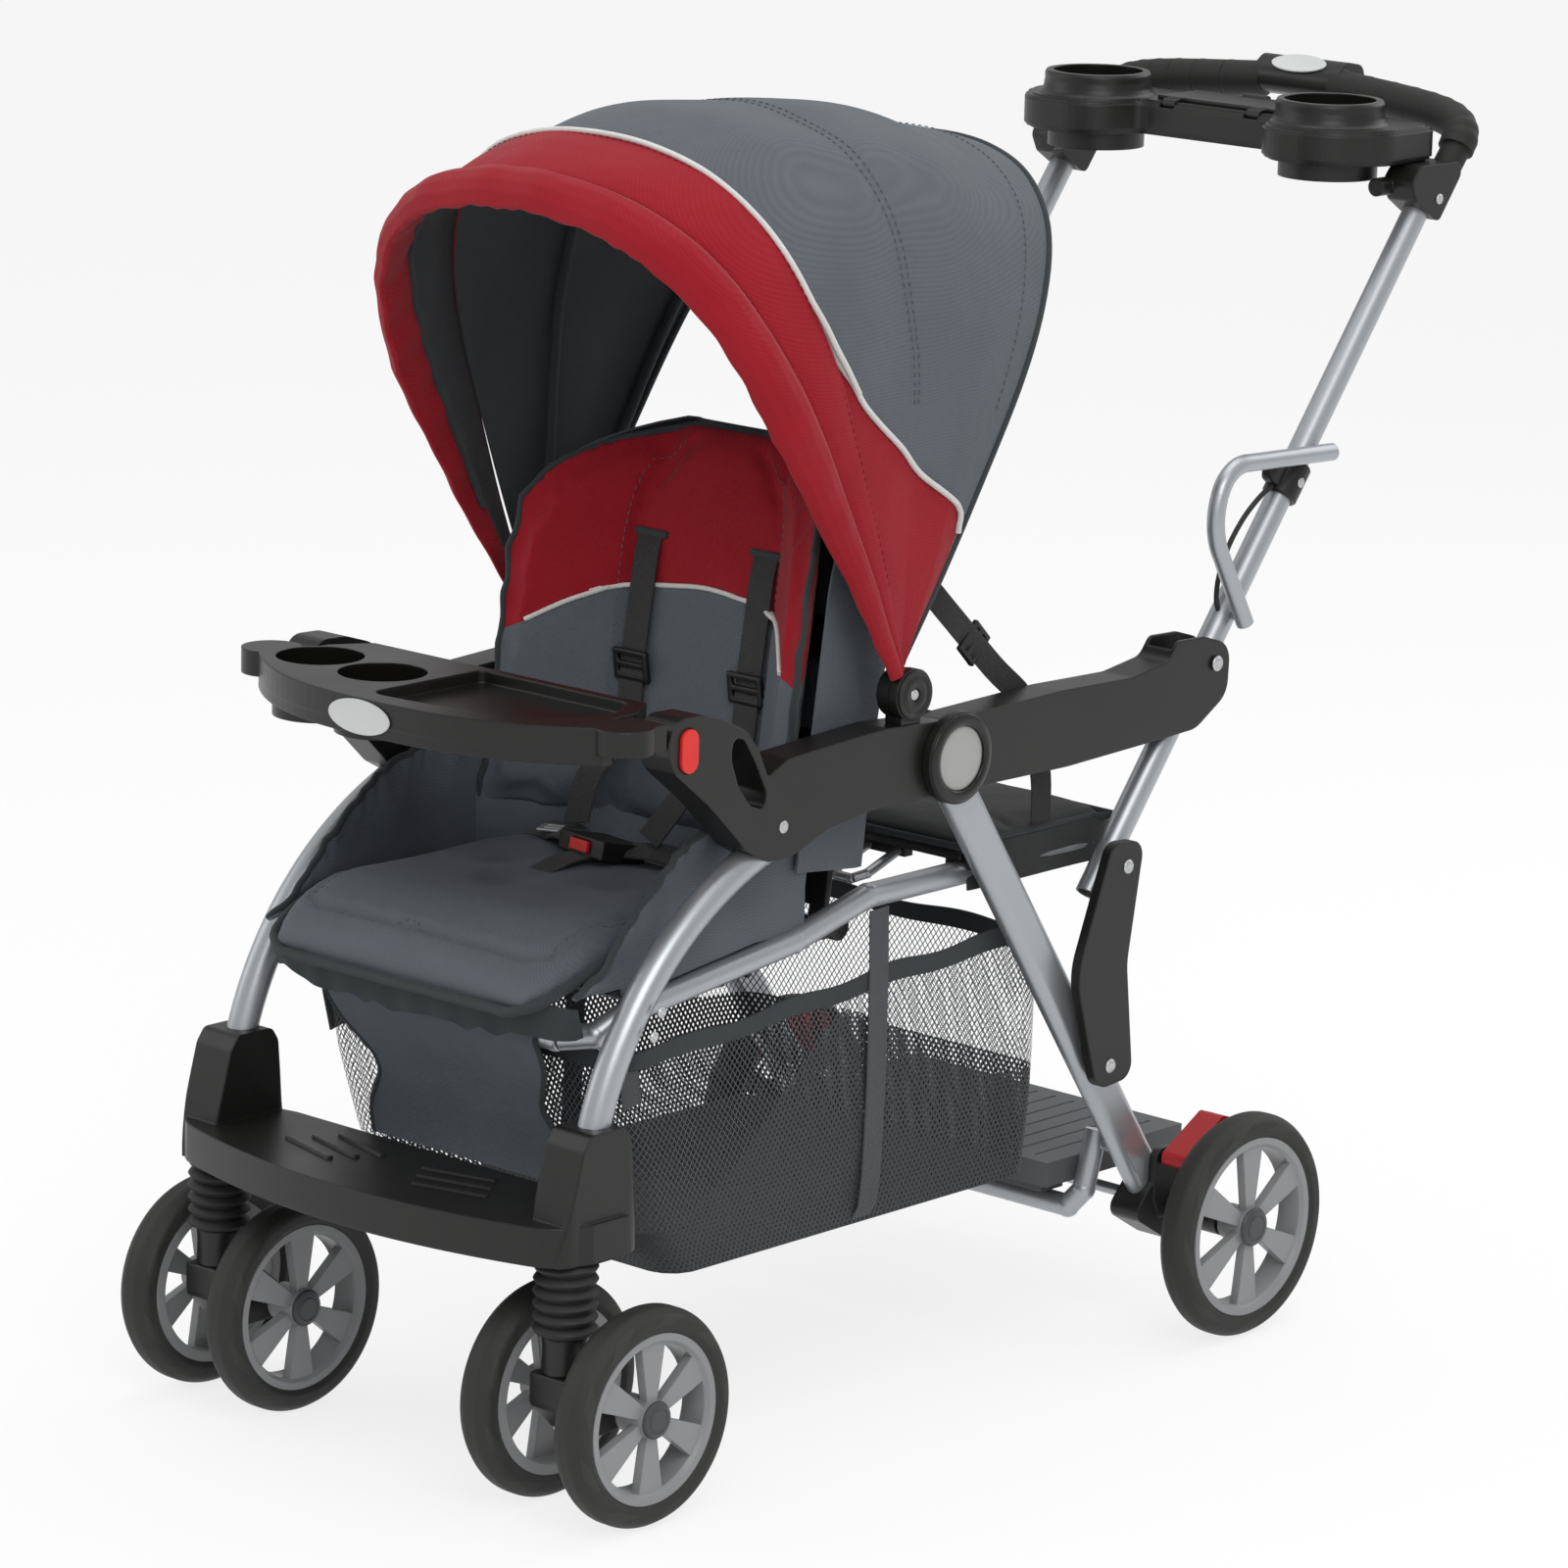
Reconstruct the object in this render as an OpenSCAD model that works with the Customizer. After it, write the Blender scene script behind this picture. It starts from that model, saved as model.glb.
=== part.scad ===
// Tandem stroller with a front seat, a rear jump seat and a standing platform.
// Millimetres, Z up, front of the stroller towards -Y, origin under the middle of the bounding box.

/* [Frame] */
// half distance between the two side frames
frame_x = 194; // [180:1:210]
// diameter of the curved front legs
leg_d = 25; // [20:0.5:30]
// diameter of the handle tubes
handle_d = 22; // [18:0.5:24]
// diameter of the seat rails
rail_d = 20; // [16:0.5:22]
// wide side of the flat oval rear legs
rear_leg_w = 36; // [30:1:40]
// narrow side of the flat oval rear legs
rear_leg_t = 18; // [14:1:20]
// wall of every tube
tube_wall = 1.6; // [1.2:0.1:2.4]
// width of the arm mouldings across the stroller
arm_w = 32; // [30:1:36]
// diameter of the main pivot pins
pivot_d = 10; // [8:0.5:12]
// diameter of the other pivot pins
pin_d = 8; // [6:0.5:9]
// outer radius of the round pivot covers
cover_r = 37; // [34:1:40]

/* [Wheels] */
// radius of the rear tyres
rear_r = 95; // [90:0.5:100]
// width of the rear tyres
rear_w = 30; // [26:1:34]
// radius of the front tyres
front_r = 86.5; // [82:0.5:90]
// width of the front tyres
front_w = 32; // [26:1:34]
// distance between the middles of the two wheels of a caster
twin_pitch = 100; // [96:1:106]
// depth of the tyre over the rim
tyre_depth = 19; // [15:0.5:22]
// diameter of the wheel axles
axle_d = 10; // [8:0.5:12]
// spokes in each wheel
spokes = 6; // [5:1:7]
// distance from the swivel axis back to the caster axle
caster_trail = 34; // [28:1:40]

/* [Seats] */
// width of the front seat cushion
seat_w = 316; // [300:2:318]
// thickness of the front seat cushion
seat_t = 36; // [28:1:40]
// height of the backrest
back_h = 328; // [310:2:340]
// width of the backrest over its wings
back_w = 336; // [320:2:340]
// reach of the backrest wings towards the front
wing_in = 85; // [60:1:90]
// thickness of the backrest cushion
back_t = 26; // [20:1:30]
// lean of the backrest at rest, degrees
back_lean = 8; // [4:0.5:12]
// width of the rear seat
rear_seat_w = 340; // [320:2:350]

/* [Canopy] */
// reach of the canopy fabric from its knobs
canopy_r = 440; // [424:2:448]
// thickness of the canopy panels
canopy_t = 4; // [3:0.25:4.5]
// width of the padded roll at the front of the canopy
roll_w = 43; // [40:1:46]

/* [Trays] */
// inner radius of the cup wells behind the handle
cup_r = 39; // [36:0.5:40]
// inner radius of the cup wells in the child tray
child_cup_r = 35; // [32:0.5:36]
// depth of the child tray body
child_tray_h = 20; // [18:1:24]

/* [Fits] */
// radial play of a turning or sliding pin
run_fit = 0.05; // [0.02:0.01:0.09]
// gap between pieces that sit against each other
seat_gap = 0.3; // [0.2:0.05:0.4]
// play round a push button
button_gap = 0.4; // [0.3:0.05:0.6]

/* [Hidden] */
y_off = 208.75;
mm = [-332, 537];
aa = [-3, 566];
tube_dir = [0.6087, 0.7934];
hh = aa - 191 * tube_dir;
leg_foot = [-35, 106];
leg_len = norm(leg_foot - mm);
leg_u = (leg_foot - mm) / leg_len;
leg_ang = atan2(leg_u[1], leg_u[0]);
ll = mm + 350 * leg_u;
kk = [-382, 594];
arc_c = [-439, 218];
arc_r = 290;
strut = [192, -741];
axle_y = strut[1] + caster_trail;
rear_in = 243;
rim_front = front_r - tyre_depth;
rim_rear = rear_r - tyre_depth;
arm_in = frame_x - arm_w / 2;
arm_out = frame_x + arm_w / 2;
rail_x = 167;
fork_gap = 25.4;
fork_in = frame_x - fork_gap / 2;
fork_out = frame_x + fork_gap / 2;
btn = [-637, 587];
hinge_b = [-395, 398];
swing = [-192, -688];
tray_z = 591;
lid_axis = [230, 984];
grip_r = 12.5;
hand_r = 15.5;
pedal = [-46, 150];
$fn = 48;

silver = [0.66, 0.68, 0.7];
black = [0.16, 0.15, 0.14];
grey = [0.35, 0.37, 0.4];
red = [0.6, 0.08, 0.14];
signal = [0.8, 0.14, 0.12];

// helpers
function unit(v) = v / norm(v);
function corner(a, p, b, r, n) =
  let (u = unit(a - p), w = unit(b - p), h = acos(max(-1, min(1, u * w))) / 2)
  let (t = r / tan(h), c = p + unit(u + w) * r / sin(h), s = p + u * t, e = p + w * t)
  let (f = atan2(s[1] - c[1], s[0] - c[0]), g = atan2(e[1] - c[1], e[0] - c[0]), d = g - f)
  let (k = d > 180 ? d - 360 : d < -180 ? d + 360 : d)
  [for (i = [0 : n]) c + r * [cos(f + k * i / n), sin(f + k * i / n)]];
function flat(p) = [p[0], p[1]];
function rounded(p, n = 5) = [for (i = [0 : len(p) - 1])
  each corner(flat(p[(i + len(p) - 1) % len(p)]), flat(p[i]), flat(p[(i + 1) % len(p)]), p[i][2], n)];

module place() {
  translate([0, y_off, 0]) children();
}

module both() {
  children();
  mirror([1, 0, 0]) children();
}

// side profile in the YZ plane, pulled from x0 to x1
module across(x0, x1) {
  translate([x0, 0, 0]) rotate([90, 0, 90]) linear_extrude(x1 - x0) children();
}

module shape(p, n = 5) {
  polygon(rounded(p, n));
}

module xrod(x0, x1, p, r) {
  translate([x0, p[0], p[1]]) rotate([0, 90, 0]) cylinder(r = r, h = x1 - x0);
}

module rod(a, b, r) {
  d = b - a;
  translate(a) rotate([0, acos(d[2] / norm(d)), atan2(d[1], d[0])]) cylinder(r = r, h = norm(d));
}

module path(p, r, k = 1.05) {
  for (i = [0 : len(p) - 2]) rod(p[i], p[i + 1], r);
  for (i = [1 : len(p) - 2]) translate(p[i]) sphere(r = r * k);
}

// tube bent in the YZ plane at x, each point with its bend radius
module bent(x, p, r) {
  n = len(p) - 1;
  function leg(i, j) = unit(flat(p[j]) - flat(p[i]));
  function half_turn(i) = acos(max(-1, min(1, leg(i, i - 1) * leg(i, i + 1)))) / 2;
  function trim_at(i) = i == 0 || i == n ? 0 : p[i][2] / tan(half_turn(i)) - 1.5;
  for (i = [0 : n - 1]) {
    a = flat(p[i]) + leg(i, i + 1) * trim_at(i);
    b = flat(p[i + 1]) - leg(i, i + 1) * trim_at(i + 1);
    rod([x, a[0], a[1]], [x, b[0], b[1]], r * 0.985);
  }
  for (i = [1 : n - 1]) {
    c = flat(p[i]) + unit(leg(i, i - 1) + leg(i, i + 1)) * p[i][2] / sin(half_turn(i));
    f = flat(p[i]) + leg(i, i - 1) * p[i][2] / tan(half_turn(i)) - c;
    g = flat(p[i]) + leg(i, i + 1) * p[i][2] / tan(half_turn(i)) - c;
    clock = f[0] * g[1] - f[1] * g[0] < 0;
    first = clock ? g : f;
    translate([x, c[0], c[1]]) rotate([90, 0, 90]) rotate([0, 0, atan2(first[1], first[0])])
      rotate_extrude(angle = 180 - 2 * half_turn(i)) translate([p[i][2], 0]) circle(r = r);
  }
}

module slot2(p, w, h) {
  translate([p[0] - w / 2, p[1] - h / 2 + w / 2]) square([w, h - w]);
  translate([p[0], p[1] - h / 2 + w / 2]) circle(d = w);
  translate([p[0], p[1] + h / 2 - w / 2]) circle(d = w);
}

// closed slab between two grids of points, rows of nu points
module slab(top, low, nu) {
  n = len(top);
  nv = n / nu;
  ft = [for (j = [0 : nv - 2]) for (i = [0 : nu - 2]) let (a = j * nu + i)
    each [[a, a + nu, a + nu + 1], [a, a + nu + 1, a + 1]]];
  fb = [for (f = ft) [n + f[2], n + f[1], n + f[0]]];
  s1 = [for (i = [0 : nu - 2]) each [[i, i + 1, n + i + 1], [i, n + i + 1, n + i]]];
  s2 = [for (i = [0 : nu - 2]) let (a = n - nu + i) each [[a + 1, a, n + a], [a + 1, n + a, n + a + 1]]];
  s3 = [for (j = [0 : nv - 2]) let (a = j * nu) each [[a + nu, a, n + a], [a + nu, n + a, n + a + nu]]];
  s4 = [for (j = [0 : nv - 2]) let (a = j * nu + nu - 1)
    each [[a, a + nu, n + a + nu], [a, n + a + nu, n + a]]];
  polyhedron(concat(top, low), concat(ft, fb, s1, s2, s3, s4));
}

// crowned cushion lying in XY: gu and gv name the seams, arch rounds the far end in plan,
// droop lowers the far end and wing lifts the two sides
module cushion(w, l, t, crown, us, vs, gu, gv, groove, arch, droop = 0, wing = 0) {
  function edge(u, v) = sqrt(max(0, (1 - pow(abs(2 * u), 4)) * (1 - pow(abs(2 * v), 4))));
  function dip(u, v) = (len(search(u, gu)) + len(search(v, gv))) > 0 ? groove : 0;
  function tail(v) = 1 - 0.04 * pow(max(0, -v - 0.2) / 0.3, 2);
  function half(v) = v < 0.2 ? tail(v) : sqrt(1 - arch * pow((v - 0.2) / 0.3, 2));
  function lift(u) = wing * pow(max(0, abs(u) - 0.2) / 0.3, 1.4);
  function bend(u, v) = lift(u) - droop * pow(max(0, v - 0.24) / 0.26, 1.6);
  function up(u, v) = t * (0.2 + 0.3 * edge(u, v)) + (crown - dip(u, v)) * edge(u, v) + bend(u, v);
  function dn(u, v) = -t * (0.2 + 0.3 * edge(u, v)) + bend(u, v);
  slab([for (v = vs) for (u = us) [w * u * half(v), l * v, up(u, v)]],
    [for (v = vs) for (u = us) [w * u * half(v), l * v, dn(u, v)]], len(us));
}

module leg_arc(r, f, g) {
  translate([frame_x, arc_c[0], arc_c[1]]) rotate([90, 0, 90]) rotate([0, 0, f])
    rotate_extrude(angle = g - f, $fn = 96) translate([arc_r, 0]) difference() {
      circle(r = r);
      if (r == leg_d / 2) circle(r = r - tube_wall);
    }
}

module front_legs() {
  color(silver) place() both() leg_arc(leg_d / 2, 105, 171.5);
}

function lip(x, s, d) = -766 + s - d * (1 - x * x / 218 / 218);

module footrest() {
  function nose(x) = abs(x) > 191 ? 27 - sqrt(729 - pow(abs(x) - 191, 2)) : 0;
  color(black) place() difference() {
    union() {
      translate([0, 0, 207]) linear_extrude(31)
        polygon(concat([for (i = [-28 : 28]) let (x = i * 218 / 28) [x, lip(x, 0, 40) + nose(x)]],
          [[218, -700], [160, -688], [-160, -688], [-218, -700]]));
      both() intersection() {
        across(frame_x - 20, frame_x + 20)
          shape([[-768, 207, 1], [-758, 252, 60], [-746, 296, 12], [-738, 307, 7], [-702, 307, 7],
            [-695, 296, 12], [-690, 244, 60], [-682, 207, 1]]);
        translate([frame_x, 0, 200]) linear_extrude(120)
          shape([[-20, -771, 17], [20, -771, 17], [20, -679, 17], [-20, -679, 17]], 8);
      }
      for (s = [-1, 1]) for (i = [0 : 2]) translate([s * (78 - i * 12), -752 + i * 17, 238])
        rotate([0, 0, s * 14]) cube([66, 5, 4], center = true);
    }
    translate([0, 0, 203]) linear_extrude(30)
      polygon(concat([for (i = [-12 : 12]) [i * 160 / 12, lip(i * 160 / 12, 6, 38)]],
        [[160, -694], [-160, -694]]));
    both() {
      leg_arc(leg_d / 2 + run_fit, 152, 171.6);
      translate([strut[0], strut[1], 200]) cylinder(r = 12 + run_fit, h = 51);
    }
  }
}

module arm_outline() {
  shape([[-330, 508, 1], [-427, 508, 20], [-475, 502, 30], [-518, 486, 18], [-546, 486, 14],
      [-568, 498, 14], [-613, 541, 20], [-650, 570, 12], [-660, 589, 14], [-652, 613, 16],
      [-620, 612, 20], [-597, 605, 16], [-572, 593, 14], [-558, 576, 12], [-547, 553, 3],
      [-524, 564, 10], [-480, 567, 30], [-410, 571, 40], [-330, 567, 1]]);
}

module front_arms() {
  color(black) place() both() difference() {
    across(arm_in, arm_out) arm_outline();
    xrod(arm_in - 1, arm_out + 1, mm, 33.5);
    across(arm_in - 1, arm_out - 4)
      shape([[-376, 514, 4], [-430, 515, 12], [-466, 512, 6], [-466, 540, 10], [-440, 560, 20],
          [-376, 560, 4]]);
    across(arm_in - 1, arm_out + 1)
      shape([[-587, 590, 6], [-589, 573, 20], [-580, 550, 20], [-566, 533, 12], [-551, 528, 5],
          [-548, 541, 8], [-561, 566, 20], [-575, 587, 8]]);
    leg_arc(leg_d / 2 + run_fit, 103.5, 128);
    across(arm_out - 14, arm_out + 1) slot2(btn, 18 + 2 * button_gap, 34 + 2 * button_gap);
  }
  color(black) place() {
    translate([swing[0], swing[1], tray_z + 2]) cylinder(r = pin_d / 2 - 1, h = child_tray_h - 4);
    translate([swing[0] - 5, swing[1], tray_z + 7.4]) cube([10, 36, 5.2]);
  }
}

module pivot_covers() {
  color(black) place() both() {
    difference() {
      xrod(arm_out + seat_gap, arm_out + 9, mm, cover_r);
      xrod(arm_out + 6.5, arm_out + 10, mm, cover_r - 11);
      xrod(arm_out - 1, arm_out + 4.5, mm, pivot_d / 2 + run_fit);
    }
    color(silver) xrod(arm_out + 6.7, arm_out + 8.4, mm, cover_r - 11.4);
    difference() {
      xrod(arm_in - 6, arm_in - seat_gap, mm, cover_r - 5);
      xrod(arm_in - 7, arm_in + 1, mm, pivot_d / 2 + run_fit);
    }
  }
}

module pivot_pins() {
  color(silver) place() both() xrod(arm_in - 6, arm_out + 4, mm, pivot_d / 2);
}

module seat_rails() {
  h = [[128, -690, 357], [156, -676, 362], [rail_x, -650, 379], [rail_x, -466, 402], [rail_x, -380, 424],
    [rail_x, -112, 425]];
  color(silver) place() {
    path(concat([for (i = [5 : -1 : 0]) [-h[i][0], h[i][1], h[i][2]]], h), rail_d / 2);
    for (p = [[-632, 385], [-572, 385]]) xrod(-rail_x, rail_x, p, 6);
    both() rod([rail_x, -650, 379], [frame_x - 9.5, -662.7, 388.7], 5);
  }
}

module seat_deck() {
  color(black) place() {
    difference() {
      translate([-152, -660, 391.3]) cube([304, 220, 6]);
      for (x = [-100, 0, 100]) translate([x - 30, -640, 390]) cube([60, 180, 10]);
    }
    both() difference() {
      union() {
        translate([142, -442, 391.3]) cube([10, 44, 6]);
        xrod(142, 152, hinge_b, 11);
      }
      xrod(140, 154, hinge_b, pin_d / 2 + run_fit);
    }
  }
}

module seat_pad() {
  color(grey) place() translate([0, -591, 397.6 + seat_t * 0.5]) rotate([0, 0, 180])
    cushion(seat_w, 302, seat_t, 7, [-0.5, -0.47, -0.42, -0.34, -0.3, -0.26, -0.13, 0, 0.13, 0.26,
        0.3, 0.34, 0.42, 0.47, 0.5], [-0.5, -0.46, -0.38, -0.25, -0.1, -0.06, 0, 0.12, 0.25, 0.32,
        0.38, 0.43, 0.47, 0.5], [-0.3, 0.3], [-0.06], 5, 0.2, 30);
}

module seat_wings() {
  color(grey) place() both() across(rail_x - 0.5, rail_x + 3.5) shape([[-712, 398, 3], [-684, 410, 20],
    [-650, 449, 30], [-577, 503, 40], [-540, 516, 20], [-512, 520, 6], [-512, 406.8, 1],
        [-645, 390.2, 6]]);
}

module calf_panel() {
  color(grey) place() difference() {
    across(-116, 116) shape([[-705, 376, 1.2], [-705, 350, 10], [-672, 300, 60], [-646, 222, 1.2],
      [-642, 222, 1.2], [-668, 301, 60], [-700.4, 350, 8], [-700.4, 376, 1.2]]);
    both() translate([116, -720, 290]) rotate([90, 0, 0]) translate([0, 0, -60]) cylinder(r = 34, h = 70);
  }
}

module rear_seat() {
  color(black) place() {
    w = rear_seat_w / 2 + 2;
    translate([-w, -274, 435.4]) cube([2 * w, 186, 6]);
    both() difference() {
      translate([w - 26, -262, 416]) cube([6, 160, 21]);
      translate([w - 27, -240, 415]) cube([8, 40, 13]);
    }
    translate([56, -264, 425]) cube([48, 10, 12]);
  }
  color(silver) place() path([[64, -259, 430.5], [64, -300, 416], [72, -310, 412], [88, -310, 412],
    [96, -300, 416], [96, -259, 430.5]], 4);
}

module rear_seat_pad() {
  color(black) place() translate([0, -181, 441.7 + 5])
    cushion(rear_seat_w, 184, 10, 4, [-0.5, -0.47, -0.4, -0.2, 0, 0.2, 0.4, 0.47, 0.5],
      [-0.5, -0.45, -0.3, -0.15, -0.11, 0, 0.15, 0.3, 0.45, 0.5], [], [-0.11], 3, 0.04);
}

module basket() {
  color(grey) place() difference() {
    across(-167, 167) shape([[-150, 146, 20], [-590, 152, 30], [-634, 225, 30], [-668, 349, 1],
        [-212, 352, 20], [-146, 322, 4]]);
    across(-163.5, 163.5) shape([[-153.5, 149.5, 17], [-588, 155.5, 27], [-630, 226, 27], [-677, 400, 1],
      [-149.5, 400, 4]]);
  }
  color(grey) place() both() translate([163.5, -312, 345]) cube([3.5, 26, 69]);
}

// bow outline of the canopy: part of the reach from the knob axis, part of the half width
bow = [[0.047, 0.985], [0.2, 1], [0.38, 1], [0.58, 0.985], [0.73, 0.92], [0.853, 0.79], [0.942, 0.57],
  [0.987, 0.3], [1, 0]];
bow_n = 2 * len(bow) - 1;
function bow_at(i) = i < len(bow) ? bow[i] : [bow[bow_n - 1 - i][0], -bow[bow_n - 1 - i][1]];
function bow_row(a, r, w, o) = [for (i = [0 : bow_n - 1]) let (q = bow_at(i)[0] * r)
  [bow_at(i)[1] * w, kk[0] + q * cos(a) - o * sin(a), kk[1] + q * sin(a) + o * cos(a)]];

// canopy panel through bows, each an angle, a reach, a half width, a thickness and a shift to the front
function ahead(b) = len(b) > 4 ? b[4] : 0;
module canopy_panel(rows) {
  place() slab([for (b = rows) each bow_row(b[0], b[1], b[2], ahead(b))],
    [for (b = rows) each bow_row(b[0], b[1] - b[3], b[2] - b[3], ahead(b))], bow_n);
}

module canopy_rear() {
  t = canopy_t;
  color(grey) canopy_panel([[57, canopy_r + 38, 189, t], [61, canopy_r + 26, 192, t],
      [66, canopy_r + 9, 196, t], [70, canopy_r, 198, t], [74.5, canopy_r - 1, 198, t],
      [79, canopy_r - 2, 198, t], [83.8, canopy_r - 1, 198, t], [88.6, canopy_r, 198, t]]);
}

module canopy_mid() {
  r = canopy_r + 6.5;
  color(grey) canopy_panel([for (a = [89, 94, 99, 104, 108.6]) [a, r, 204.5, canopy_t]]);
}

module canopy_visor() {
  r = canopy_r + 14;
  a = 117.5;
  color(red) canopy_panel([[109, r, 211, canopy_t], [113, r, 211, canopy_t], [a, r - 1, 211, canopy_t],
    [a, r + 6, 215, 8, 5], [a, r + 10, 218, 11, 14], [a, r + 10, 218, 11, 26], [a, r + 6, 215, 8, 36],
    [a, r, 212, 5, roll_w]]);
}

module canopy_clamps() {
  color(black) place() both() {
    xrod(190, 212, kk, 20);
    xrod(203, 212, kk, 20.7);
    difference() {
      translate([192, kk[0] - 11, 566]) cube([17, 22, 16]);
      across(191, 210) arm_outline();
    }
  }
}

module harness_buckle() {
  color(black) place() difference() {
    translate([-4, -505, 453]) rotate([-12, 0, -8]) cube([56, 44, 15], center = true);
    translate([-4, -505, 453]) rotate([-12, 0, -8]) translate([0, -16, 0])
      cube([22 + 2 * button_gap, 14, 9 + 2 * button_gap], center = true);
  }
}

module buckle_button() {
  color(signal) place() translate([-4, -505, 453]) rotate([-12, 0, -8]) translate([0, -19.5, 0])
    cube([22, 11, 9], center = true);
}

module lap_straps() {
  color(black) place() {
    translate([-4, -505, 453]) rotate([-12, 0, -8]) {
      translate([58, 12, -1]) rotate([0, 12, 22]) cube([56, 26, 2.5], center = true);
      translate([-58, 12, -1]) rotate([0, -12, -22]) cube([56, 26, 2.5], center = true);
    }
    translate([-9, -564, 445.3]) rotate([6, 0, -8]) cube([26, 60, 2.5], center = true);
  }
}

module back_place() {
  place() translate([0, hinge_b[0], hinge_b[1]]) rotate([-back_lean, 0, 0]) children();
}

module back_board() {
  color(black) {
    back_place() difference() {
      translate([-136, -3, 13]) cube([272, 6, back_h + 6]);
      for (z = [60, 150, 240]) translate([-110, -4, z]) cube([220, 8, 60]);
    }
    back_place() both() translate([120, -3, -4]) cube([16, 6, 20]);
    place() xrod(-152, 152, hinge_b, pin_d / 2);
  }
}

module seat_back_pad() {
  color(red) back_place() translate([0, -3.6 - back_t * 0.5, 47 + back_h / 2]) rotate([90, 0, 0])
    cushion(back_w, back_h, back_t, 5, [-0.5, -0.48, -0.44, -0.38, -0.31, -0.25, -0.22, -0.19, -0.1,
        0, 0.1, 0.19, 0.22, 0.25, 0.31, 0.38, 0.44, 0.48, 0.5],
        [-0.5, -0.47, -0.42, -0.3, -0.15, 0, 0.12, 0.16, 0.2, 0.28, 0.36, 0.42, 0.46, 0.485, 0.5],
        [-0.22, 0.22], [0.16], 4, 0.93, 0, wing_in);
}

module shoulder_straps() {
  color(black) back_place() both() {
    translate([50, -39, 100]) cube([26, 2.5, 190]);
    translate([45, -43.5, 165]) cube([36, 4.8, 24]);
  }
}

module child_tray() {
  cups = [[-65, -690], [-141, -684]];
  function brim(i, g) = [i * 20.8, -768 + g + 80 * pow(abs(i) / 10, 2.6)];
  color(black) place() difference() {
    union() {
      translate([0, 0, tray_z]) linear_extrude(child_tray_h) {
        polygon(concat([for (i = [-20 : 20]) brim(i / 2, 0)], [[176, -684], [168, -676], [168, -650],
          [148, -618], [-148, -618], [-168, -650], [-168, -676], [-176, -684]]));
        for (s = [-1, 1]) translate([s * -swing[0], swing[1]]) circle(r = 24);
        for (c = cups) translate(c) circle(r = child_cup_r + 2.5);
        translate([-swing[0] - 18, swing[1]]) square([36, 27]);
      }
      for (c = cups) translate([c[0], c[1], 565]) cylinder(r = child_cup_r + 2.5, h = 34);
      translate([0, 0, tray_z - 9]) linear_extrude(14)
        polygon(concat([for (i = [-18 : 18]) brim(i / 2, 0.6)],
          [for (i = [18 : -1 : -18]) brim(i / 2, 13)]));
    }
    for (c = cups) translate([c[0], c[1], 568]) cylinder(r = child_cup_r, h = 80);
    translate([0, 0, tray_z + 10]) linear_extrude(50)
      shape([[-20, -626, 6], [-20, -750, 14], [90, -740, 30], [148, -706, 20], [156, -660, 16],
          [138, -627, 12]]);
    translate([0, 0, tray_z - 1]) linear_extrude(7)
      shape([[-14, -632, 6], [-14, -746, 14], [90, -734, 30], [150, -702, 20], [158, -660, 16],
          [138, -634, 12]]);
    translate([swing[0], swing[1], tray_z + 1.6]) cylinder(r = pin_d / 2 - 1 + run_fit,
        h = child_tray_h - 3.2);
    translate([swing[0] - 40, swing[1] - 13, tray_z + 7]) cube([46, 50, 6]);
  }
}

module button() {
  across(arm_out - 9, arm_out + 2.5) slot2(btn, 18, 34);
}

module tray_button_left() {
  color(signal) place() button();
}

module tray_button_right() {
  color(signal) place() mirror([1, 0, 0]) button();
}

module strut_body() {
  translate([strut[0], strut[1], 118]) cylinder(r = 18, h = 29);
  translate([strut[0], strut[1], 140]) cylinder(r = 12, h = 97);
  translate([strut[0], strut[1], 90]) cylinder(r = 8, h = 30);
}

module strut_left() {
  color(black) place() strut_body();
}

module strut_right() {
  color(black) place() mirror([1, 0, 0]) strut_body();
}

module boot_body() {
  translate([strut[0], strut[1], 147.3]) rotate_extrude() difference() {
    union() {
      translate([13, 0]) square([8, 59.3]);
      for (i = [0 : 5]) translate([21, 5 + i * 9.9]) circle(r = 4.2, $fn = 24);
    }
    translate([0, -10]) square([13, 90]);
  }
}

module boot_left() {
  color(black) place() boot_body();
}

module boot_right() {
  color(black) place() mirror([1, 0, 0]) boot_body();
}

module caster_body() {
  difference() {
    across(strut[0] - 18, strut[0] + 18)
      shape([[strut[1] - 19, 117.6, 3], [strut[1] - 19, 92, 10], [axle_y - 26, 66, 14],
          [axle_y + 14, 66, 14], [axle_y + 17, 92, 12], [strut[1] + 20, 117.6, 4]]);
    translate([strut[0], strut[1], 89]) cylinder(r = 8 + run_fit, h = 40);
  }
  reach = twin_pitch / 2 + front_w * 0.4 - 0.6;
  xrod(strut[0] - reach, strut[0] + reach, [axle_y, front_r], axle_d / 2);
}

module caster_left() {
  color(black) place() caster_body();
}

module caster_right() {
  color(black) place() mirror([1, 0, 0]) caster_body();
}

module tyre(r, w) {
  d = tyre_depth;
  rotate([0, 90, 0]) rotate_extrude($fn = 96) polygon(rounded([[r - d, -w / 2 + 3, 1],
      [r - d + 4, -w / 2, 3], [r - 6, -w / 2, 8], [r, -w * 0.2, 10], [r, w * 0.2, 10],
      [r - 6, w / 2, 8], [r - d + 4, w / 2, 3], [r - d, w / 2 - 3, 1]]));
}

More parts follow.
